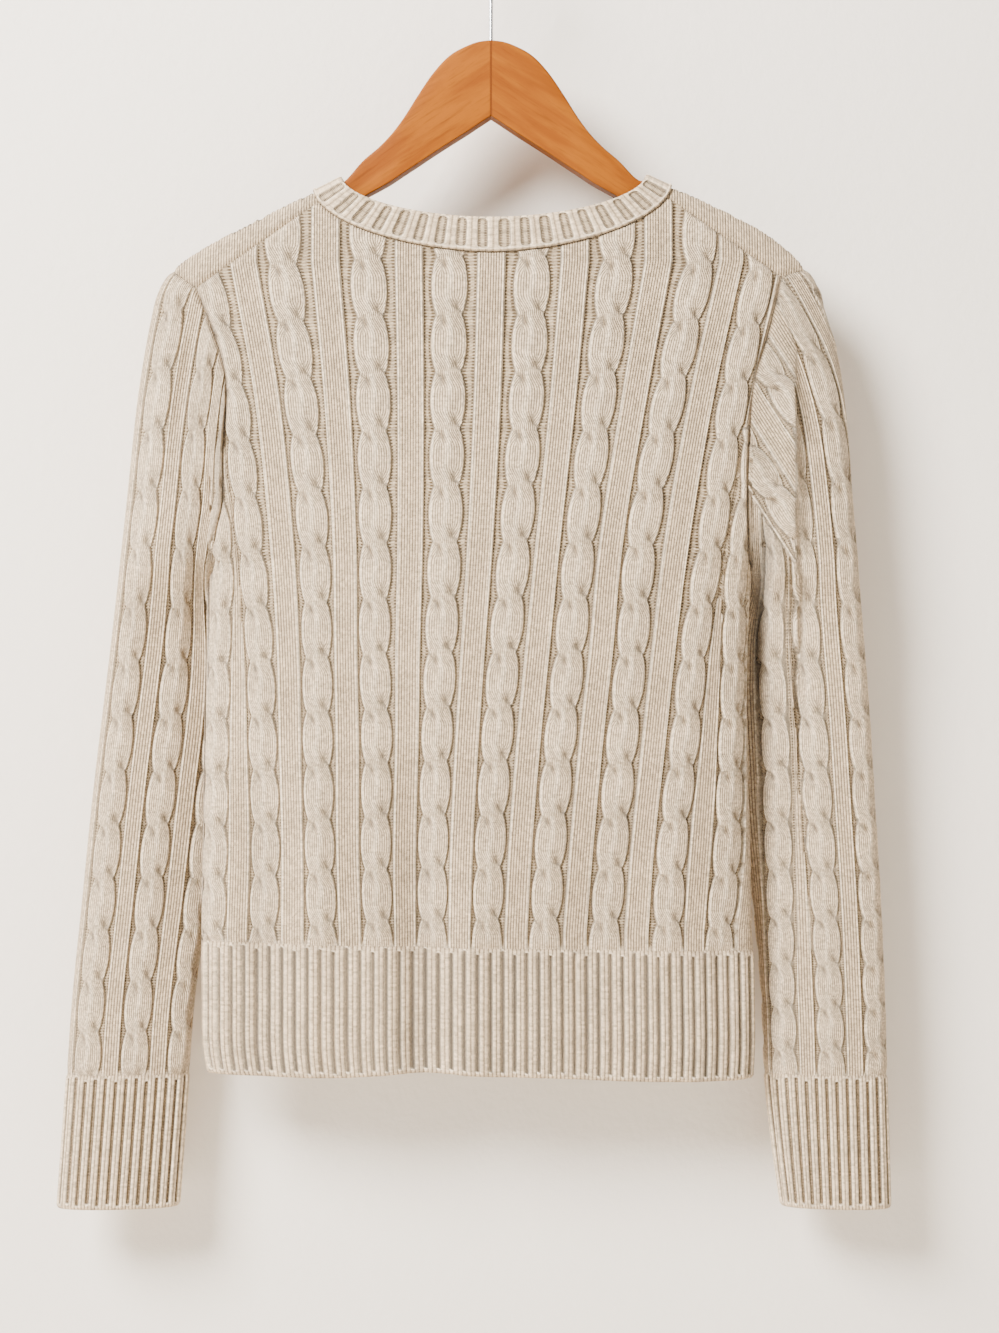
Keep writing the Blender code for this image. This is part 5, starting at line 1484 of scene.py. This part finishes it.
# Relief of ribs parted by long grooves with rounded ends, at places counted in ribs and mm down
# the band: its height, groove, painted highlight along the grooves' edges, and wale number. The
# sines make no two grooves alike.
def ribRelief(ribs, at, sizes):
    number = np.round(ribs)
    pitch = sizes["girth"] / sizes["ribs"]
    across = np.abs(ribs - number) * pitch  # from the groove's middle
    vary = sizes["grooveVaries"] * (0.13 * np.sin(number * 2.7) + 0.08 * np.sin(number * 5.3))
    half = sizes["grooveHalf"] * (1 + vary)
    start = sizes["ribsFrom"] + sizes["uneven"] * np.sin(number * 4.1)
    end = sizes["length"] - sizes["ribsEnd"] - 0.4 * sizes["uneven"] * (1 + np.sin(number * 3.3))
    bend = sizes["rounded"] * half
    outX = across - (half - bend)
    outY = np.abs(at - (start + end) / 2) - ((end - start) / 2 - bend)
    away = np.hypot(np.maximum(outX, 0), np.maximum(outY, 0)) + np.minimum(np.maximum(outX, outY), 0) - bend
    toCrest = np.clip((pitch / 2 - across) / (pitch / 2 - half), 0, 1)
    tall = ease((away + 0.55) / 1.1) * (1 - 0.14 * toCrest**2)
    groove = 1 - ease((away + 0.3) / 0.5)
    rim = np.exp(-(((away - 0.5) / 0.42) ** 2))
    signed = (ribs - number) * pitch
    wale = np.where(away < 0, (signed / half + 1) / 2, signed / pitch * 3 + number * 3 + 0.5)
    return tall, groove, rim, wale


# Faces of a ribbed wall whose outer face has points in rows of this many columns, and whose inner
# face has points at the kept columns alone
def bandFaces(count, columns, kept, closed):
    offset, width = count * columns, len(kept)
    faces = []

    def outAt(r, c):
        return r * columns + c % columns

    def inAt(r, k):
        return offset + r * width + k % width

    for r in range(count - 1):
        for c in range(columns if closed else columns - 1):
            faces.append([outAt(r, c), outAt(r + 1, c), outAt(r + 1, c + 1), outAt(r, c + 1)])
        for k in range(width if closed else width - 1):
            faces.append([inAt(r, k), inAt(r, k + 1), inAt(r + 1, k + 1), inAt(r + 1, k)])
    for r, turned in ((0, False), (count - 1, True)):
        for k in range(width if closed else width - 1):
            first, last = kept[k], kept[k + 1] if k + 1 < width else columns
            face = [outAt(r, c) for c in range(first, last + 1)] + [inAt(r, k + 1), inAt(r, k)]
            faces.append(face[::-1] if turned else face)
    if closed:
        return faces
    for r in range(count - 1):
        for c, k, turned in ((0, 0, False), (columns - 1, width - 1, True)):
            face = [outAt(r, c), inAt(r, k), inAt(r + 1, k), outAt(r + 1, c)]
            faces.append(face[::-1] if turned else face)
    return faces


# A ribbed wall: fine outer points at every mark of each row, plain inner points at every few
def ribbedBand(name, marks, rows, ribs, sizes, place, flip, closed, look, side=0, keepEach=10,
               shade=np.zeros(1)):
    columns, count = len(marks), len(rows)
    onCloth, out = place(np.array([(mark, row) for row in rows for mark in marks]))
    at = np.array(rows)[:, None] * sizes["length"] + np.zeros((1, columns))
    tall, groove, rim, wale = ribRelief(ribs[None, :] + np.zeros((count, 1)), at, sizes)
    tall = sizes["ribHeight"] * tall
    tall = tall * (1 - sizes["rolled"] * ease((at - sizes["length"] + 1.8) / 1.8))
    if sizes["meets"]:
        free = ease(at / 4)
        tall = tall * free + cloth["ribMeet"] * (1 - free)
    line = sizes["line"] * np.exp(-(((at - 1.5) / 0.65) ** 2))
    outer = onCloth + out * (tall + line).reshape(-1)[:, None]
    kept = list(range(0, columns, keepEach))
    if not closed and kept[-1] != columns - 1:
        kept.append(columns - 1)
    innerIndex = [r * columns + c for r in range(count) for c in kept]
    inner = onCloth[innerIndex] - out[innerIndex] * cloth["wall"]
    faces = bandFaces(count, columns, kept, closed)
    if flip:
        faces = [face[::-1] for face in faces]
    verts = np.vstack([outer, inner])
    if side:
        verts = stayOnSide(verts, side)
    shown = {
        "wale": wale,
        "course": at / cables["course"],
        "groove": groove,
        # painted highlight along the grooves' edges and on the raised line; painted shade under that line
        # and in the folds' troughs
        "rim": np.clip(rim + 0.5 * line, 0, 1),
        "pit": min(sizes["line"], 1) * np.exp(-(((at - 0.15) / 0.5) ** 2)),  # under the raised line
        "hollow": at * 0 + shade[None, :],
    }
    tones = {}
    for key, value in shown.items():
        value = value.ravel()
        tones[key] = np.concatenate([value, value[innerIndex] * (key in ("wale", "course"))])
    corners = np.array([i for face in faces for i in face])
    return clothMesh(name, verts, faces, corners, tones, look, list(range(columns)))


ribColumns = np.array([0, 0.07, 0.115, 0.16, 0.215, 0.33, 0.5, 0.67, 0.785, 0.84, 0.885, 0.93])


# Columns of points at every rib, in ribs, close together at the grooves
def bandColumns(ribs):
    return (np.arange(ribs)[:, None] + ribColumns[None, :]).ravel()


def bandRows():
    return [0, *np.linspace(0.008, 0.1, 12), *np.linspace(0.12, 0.9, 26), *np.linspace(0.915, 1, 13)]


# The hem's columns are half a rib further on, closest on its crests, which keeps its grooves soft
def makeHem(node, name, side):
    ribs = np.append(bandColumns(hem["ribs"]), hem["ribs"]) - 0.5
    ribs = np.concatenate([[0], ribs[ribs > 0], [hem["ribs"]]])
    ribs = ribs[ribs <= hem["ribs"]]
    marks = ribs / hem["ribs"] * 2 - 1
    middle = (hem["top"] + hem["bottom"]) / 2
    girth = halfGirth("left", middle) + halfGirth("right", middle)
    length = hem["bottom"] - hem["top"]

    def place(points):
        share, row = points[:, 0], points[:, 1]
        girth = np.where(share < 0, halfGirth("left", hem["top"]), halfGirth("right", hem["top"]))
        x = xAndDepth(share * girth, np.full(len(share), hem["top"]))[0]
        top = hemTop(x) + cloth["seamGap"] / 2
        bottom = np.interp(x, *zip(*hem["waves"]))
        drop = top * (1 - row) + bottom * row
        edge = np.where(share < 0, halfGirth("left", drop), halfGirth("right", drop))
        return bodyPlace(np.stack([share * (edge - cloth["seamGap"] / 2), drop], axis=1), side)

    sizes = {**hem, "length": length, "girth": girth}
    x = xAndDepth(marks * halfGirth("left", middle), np.full(len(marks), middle))[0]
    raised = foldHeight(bodyFolds, x * -side, np.full(len(x), middle))
    # painted shade in the troughs of the body's folds
    shade = np.clip(-raised * panels["foldShade"], 0, 1)
    band = ribbedBand(name, marks, bandRows(), ribs, sizes, place, side == front, False, ribKnit, side,
                      shade=shade)
    asSheet(band, node, [(0, 0), (girth, 0), (girth, length), (0, length)])
    print(node, "made,", len(band.data.polygons), "faces")


def makeCuff(node, name):
    ribs = bandColumns(cuffs["ribs"])
    marks = ribs / cuffs["ribs"]
    length = cuffs["bottom"] - cuffs["top"]

    def place(points):
        drop = cuffs["top"] + cloth["seamGap"] / 2 + (length - cloth["seamGap"] / 2) * points[:, 1]
        return sleevePlace(name, np.stack([points[:, 0] * sleeves["girth"], drop], axis=1))

    girth = sleeves["girth"]
    sizes = {**cuffs, "length": length, "girth": girth}
    band = ribbedBand(node + "Cloth", marks, bandRows(), ribs, sizes, place, name == "left", True, ribKnit)
    asSheet(band, node, [(0, 0), (girth, 0), (girth, length), (0, length)])
    print(node, "made,", len(band.data.polygons), "faces")


def makeNeckband():
    angles = neckAngles()
    ribs = np.arange(len(angles)) / neck["marks"]
    height = neck["outer"].back - neck["inner"].back
    rows = [cloth["seamGap"] / 2 / height, *np.linspace(0.02, 0.32, 15), *np.linspace(0.38, 0.66, 6),
            *np.linspace(0.7, 1, 14)]
    length = neck["length"]
    sizes = {**neck, "length": height, "girth": length}
    band = ribbedBand("neckbandCloth", angles, rows, ribs, sizes, bandPlace, True, True, collarKnit,
                      keepEach=7)
    outline = [(0, 0), (length, 0), (length, height), (0, height)]
    asSheet(band, "neckband", outline)
    print("neckband made,", len(band.data.polygons), "faces")


makeHem("hem_back", "hemBack", back)
makeHem("hem_front", "hemFront", front)
makeCuff("cuff_left", "left")
makeCuff("cuff_right", "right")
makeNeckband()

# Hanger

Station = namedtuple("Station", "reach top height thickness")
hanger = {
    "shown": [
        Station(0.02, 75.0, 50.2, 15.0),
        Station(8, 76.0, 54.4, 15.0),
        Station(15.5, 78.6, 56.8, 15.0),
        Station(28, 85.8, 57.5, 15.0),
        Station(39, 97.9, 52.5, 15.0),
        Station(48.5, 112.0, 44.8, 15.0),
        Station(58, 127.0, 36.0, 15.0),
        Station(66, 137.4, 31.0, 14.6),
        Station(74, 145.6, 27.4, 14.0),
        Station(84, 154.0, 24.8, 13.2),
    ],
    "hidden": [  # here the top is measured down from the cloth that lies on it
        Station(97, 0.9, 23.5, 12.6),
        Station(103, 1.6, 23.0, 12.0),
        Station(114, 3.0, 21.5, 11.2),
        Station(126, 3.5, 20.5, 11.2),
        Station(160, 3.5, 19.0, 11.2),
        Station(184, 4.4, 15.5, 9.5),
        Station(195, 4.8, 13.0, 7.0),
        Station(200, 6.0, 9.0, 4.0),
    ],
    "topRound": 2.6,  # radius of the upper corners
    "lowRound": 0.9,
    "cornerSteps": 7,
    "slope": 33,  # degrees of the grain
}


# A section of the wood from the middle of its top round to the front, the bottom and back up
def armSection(half, height):
    turn = np.linspace(0, np.pi / 2, hanger["cornerSteps"])
    top = min(hanger["topRound"], half * 0.9, height / 3)
    low = min(hanger["lowRound"], half * 0.5, height / 4)
    right = [(0.0, 0.0)] + [(half - top + top * np.sin(t), top - top * np.cos(t)) for t in turn]
    right += [(half - 0.1, height * 0.35), (half - 0.1, height * 0.65)]
    right += [(half - low + low * np.cos(t), height - low + low * np.sin(t)) for t in turn] + [(0.0, height)]
    return right + [(-y, drop) for y, drop in right[-2:0:-1]]


# An arm's stations; those under the cloth get their tops from the shoulder's fold
def armRows(name):
    rows = list(hanger["shown"])
    neckReach = getattr(neck["inner"], name)
    for row in hanger["hidden"]:
        under = float(ridge(signOf(name) * max(row.reach, neckReach))) + cloth["wall"]
        rows.append(row._replace(top=under + row.top))
    return rows


def makeArm(node, name):
    sign, rows = signOf(name), armRows(name)
    stations = np.concatenate([[0.02, 0.6, 1.5, 3], np.arange(5, 199.9, 2.5), [200]])
    slope = math.radians(hanger["slope"])
    verts, grain = [], []
    for reach in stations:
        top = float(smooth(rows, "top", reach, "reach"))
        height = float(smooth(rows, "height", reach, "reach"))
        ring = armSection(float(smooth(rows, "thickness", reach, "reach")) / 2, height)
        verts += [(sign * reach, y, -top - drop) for y, drop in ring]
        for y, drop in ring:
            down = top + drop + abs(y) * 0.8
            along = reach * math.cos(slope) + down * math.sin(slope)
            grain.append((along + 40 * sign, down * math.cos(slope) - reach * math.sin(slope) + 300 * sign))
    size = len(ring)
    faces = [list(range(size))[::-1], list(range(len(verts) - size, len(verts)))]
    for s in range(len(stations) - 1):
        for i in range(size):
            j = (i + 1) % size
            faces.append([s * size + i, s * size + j, (s + 1) * size + j, (s + 1) * size + i])
    if sign > 0:
        faces = [face[::-1] for face in faces]
    mesh = bpy.data.meshes.new(node + "Wood")
    mesh.from_pydata(np.array(verts) * mm, [], faces)
    uv = mesh.uv_layers.new(name="grain")
    corners = np.array([i for face in faces for i in face])
    uv.data.foreach_set("uv", (np.array(grain) * mm)[corners].ravel())
    mesh.shade_smooth()
    mesh.set_sharp_from_angle(angle=math.radians(40))
    mesh.materials.append(wood)
    piece = addObject(node + "Wood", mesh)
    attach(piece, "root")
    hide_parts(node)


makeArm("hanger_arm_left", "left")
makeArm("hanger_arm_right", "right")

hook = {
    "wire": 2.8,
    "bore": 35,
    "turn": (-52, 196),  # degrees of its round part, from the stem's side to its tip
    "points": 80,
    "stem": (62.0, 48.0),  # drops of its straight part's last two points
    "ease": 9.0,  # how softly it bends over into the round part
    "easeSteps": 16,
}


def makeHook():
    radius, centre = (hook["bore"] + hook["wire"]) / 2, hook["bore"] / 2
    turn = np.radians(np.linspace(*hook["turn"], hook["points"]))
    route = [(radius * np.cos(t), centre - radius * np.sin(t)) for t in turn]
    start, aim = np.array([0.0, hook["stem"][1]]), np.array(route[0])
    leave = np.array([0.0, -hook["ease"]])
    arrive = np.array([-np.sin(turn[0]), -np.cos(turn[0])]) * hook["ease"]
    bend = []
    for t in np.linspace(0, 1, hook["easeSteps"])[1:-1]:
        bend.append((2 * t**3 - 3 * t**2 + 1) * start + (t**3 - 2 * t**2 + t) * leave
                    + (3 * t**2 - 2 * t**3) * aim + (t**3 - t**2) * arrive)
    track = [(0.0, hanger["shown"][0].top - cloth["seamGap"]), (0.0, hook["stem"][0]), tuple(start)]
    track += [tuple(p) for p in bend] + route
    data = bpy.data.curves.new("hookWire", "CURVE")
    data.dimensions = "3D"
    data.bevel_depth = hook["wire"] / 2 * mm
    data.bevel_resolution = 6
    data.use_fill_caps = True
    spline = data.splines.new("POLY")
    spline.points.add(len(track) - 1)
    for point, (x, drop) in zip(spline.points, track):
        point.co = (x * mm, 0, -drop * mm, 1)
    data.materials.append(wire)
    piece = addObject("hookWire", data)
    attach(piece, "root")
    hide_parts("hook")


makeHook()
print("hanger made")

# Stage and light

stage = {
    "wallY": 0.056,
    "wallColour": (0.860, 0.790, 0.700),
    "wallShade": (0.800, 0.730, 0.640),
    "floorColour": (0.800, 0.740, 0.660),
    "plasterDepth": 1.5,
    "floorZ": -1.25,
    "wallTop": 2.5,
    "wallHalf": 3,
    "floorHalf": 6,
}


def makePlane(name, corners, look):
    mesh = bpy.data.meshes.new(name)
    mesh.from_pydata(corners, [], [(0, 1, 2, 3)])
    mesh.materials.append(look)
    plane = addObject(name, mesh)
    return plane


# Plain paint with the faintest unevenness. The wall is seen from its front alone.
def makePaint(name, colour, oneSided):
    n = Nodes(name)
    place = n.add("TexCoord").outputs["Object"]
    uneven = n.node("TexNoise", Vector=place, Scale=3.0, Detail=2.0)
    patches = n.ramp(uneven, 0.3, 0.7, 0.0, 0.4)
    n.give("Base Color", n.mix(patches, colour, stage["wallShade"]))
    plaster = n.node("TexNoise", Vector=place, Scale=110.0, Detail=4.0, Roughness=0.6)
    n.bump(plaster, 0.35, stage["plasterDepth"] * mm)
    n.give("Roughness", 0.9)
    if oneSided:
        clear = n.node("BsdfTransparent")
        facing = n.add("NewGeometry").outputs["Backfacing"]
        blend = n.add("MixShader")
        n.put(blend.inputs[0], facing)
        n.put(blend.inputs[1], n.shader.outputs[0])
        n.put(blend.inputs[2], clear)
        n.put(n.tree.nodes["Material Output"].inputs["Surface"], blend.outputs[0])
    return n.material


def makeStage():
    y, z, top = stage["wallY"], stage["floorZ"], stage["wallTop"]
    side, far = stage["wallHalf"], stage["floorHalf"]
    paint = makePaint("wall paint", stage["wallColour"], True)
    wall = makePlane("wall", [(-side, y, z), (side, y, z), (side, y, top), (-side, y, top)], paint)
    wall.visible_shadow = False
    paint = makePaint("floor paint", stage["floorColour"], False)
    makePlane("floor", [(-far, -far, z), (far, -far, z), (far, far, z), (-far, far, z)], paint)


makeStage()

lights = {
    "key": {"place": (-1.4, -1.7, 0.95), "size": 1.25, "power": 286, "colour": (1.0, 0.985, 0.965)},
    "fill": {"place": (1.9, -2.4, -0.2), "size": 2.0, "power": 8, "colour": (1.0, 0.985, 0.97)},
    "behind": {"place": (0.6, 2.6, 0.8), "size": 2.2, "power": 85, "colour": (1.0, 0.99, 0.97)},
}
lightsAim = (0, 0, -0.45)
daylight = {"colour": (1.0, 0.98, 0.955), "strength": 0.53}


def makeLights():
    aim = Vector(lightsAim)
    for name, row in lights.items():
        data = bpy.data.lights.new(name, "AREA")
        data.shape = "DISK"
        data.size = row["size"]
        data.energy = row["power"]
        data.color = row["colour"]
        lamp = addObject(name, data)
        lamp.location = row["place"]
        lamp.rotation_euler = (aim - lamp.location).to_track_quat("-Z", "Y").to_euler()
    world = bpy.data.worlds.new("room")
    world.use_nodes = True
    sky = world.node_tree.nodes["Background"]
    sky.inputs["Color"].default_value = (*daylight["colour"], 1)
    sky.inputs["Strength"].default_value = daylight["strength"]
    bpy.context.scene.world = world


makeLights()
print("stage and lights made")
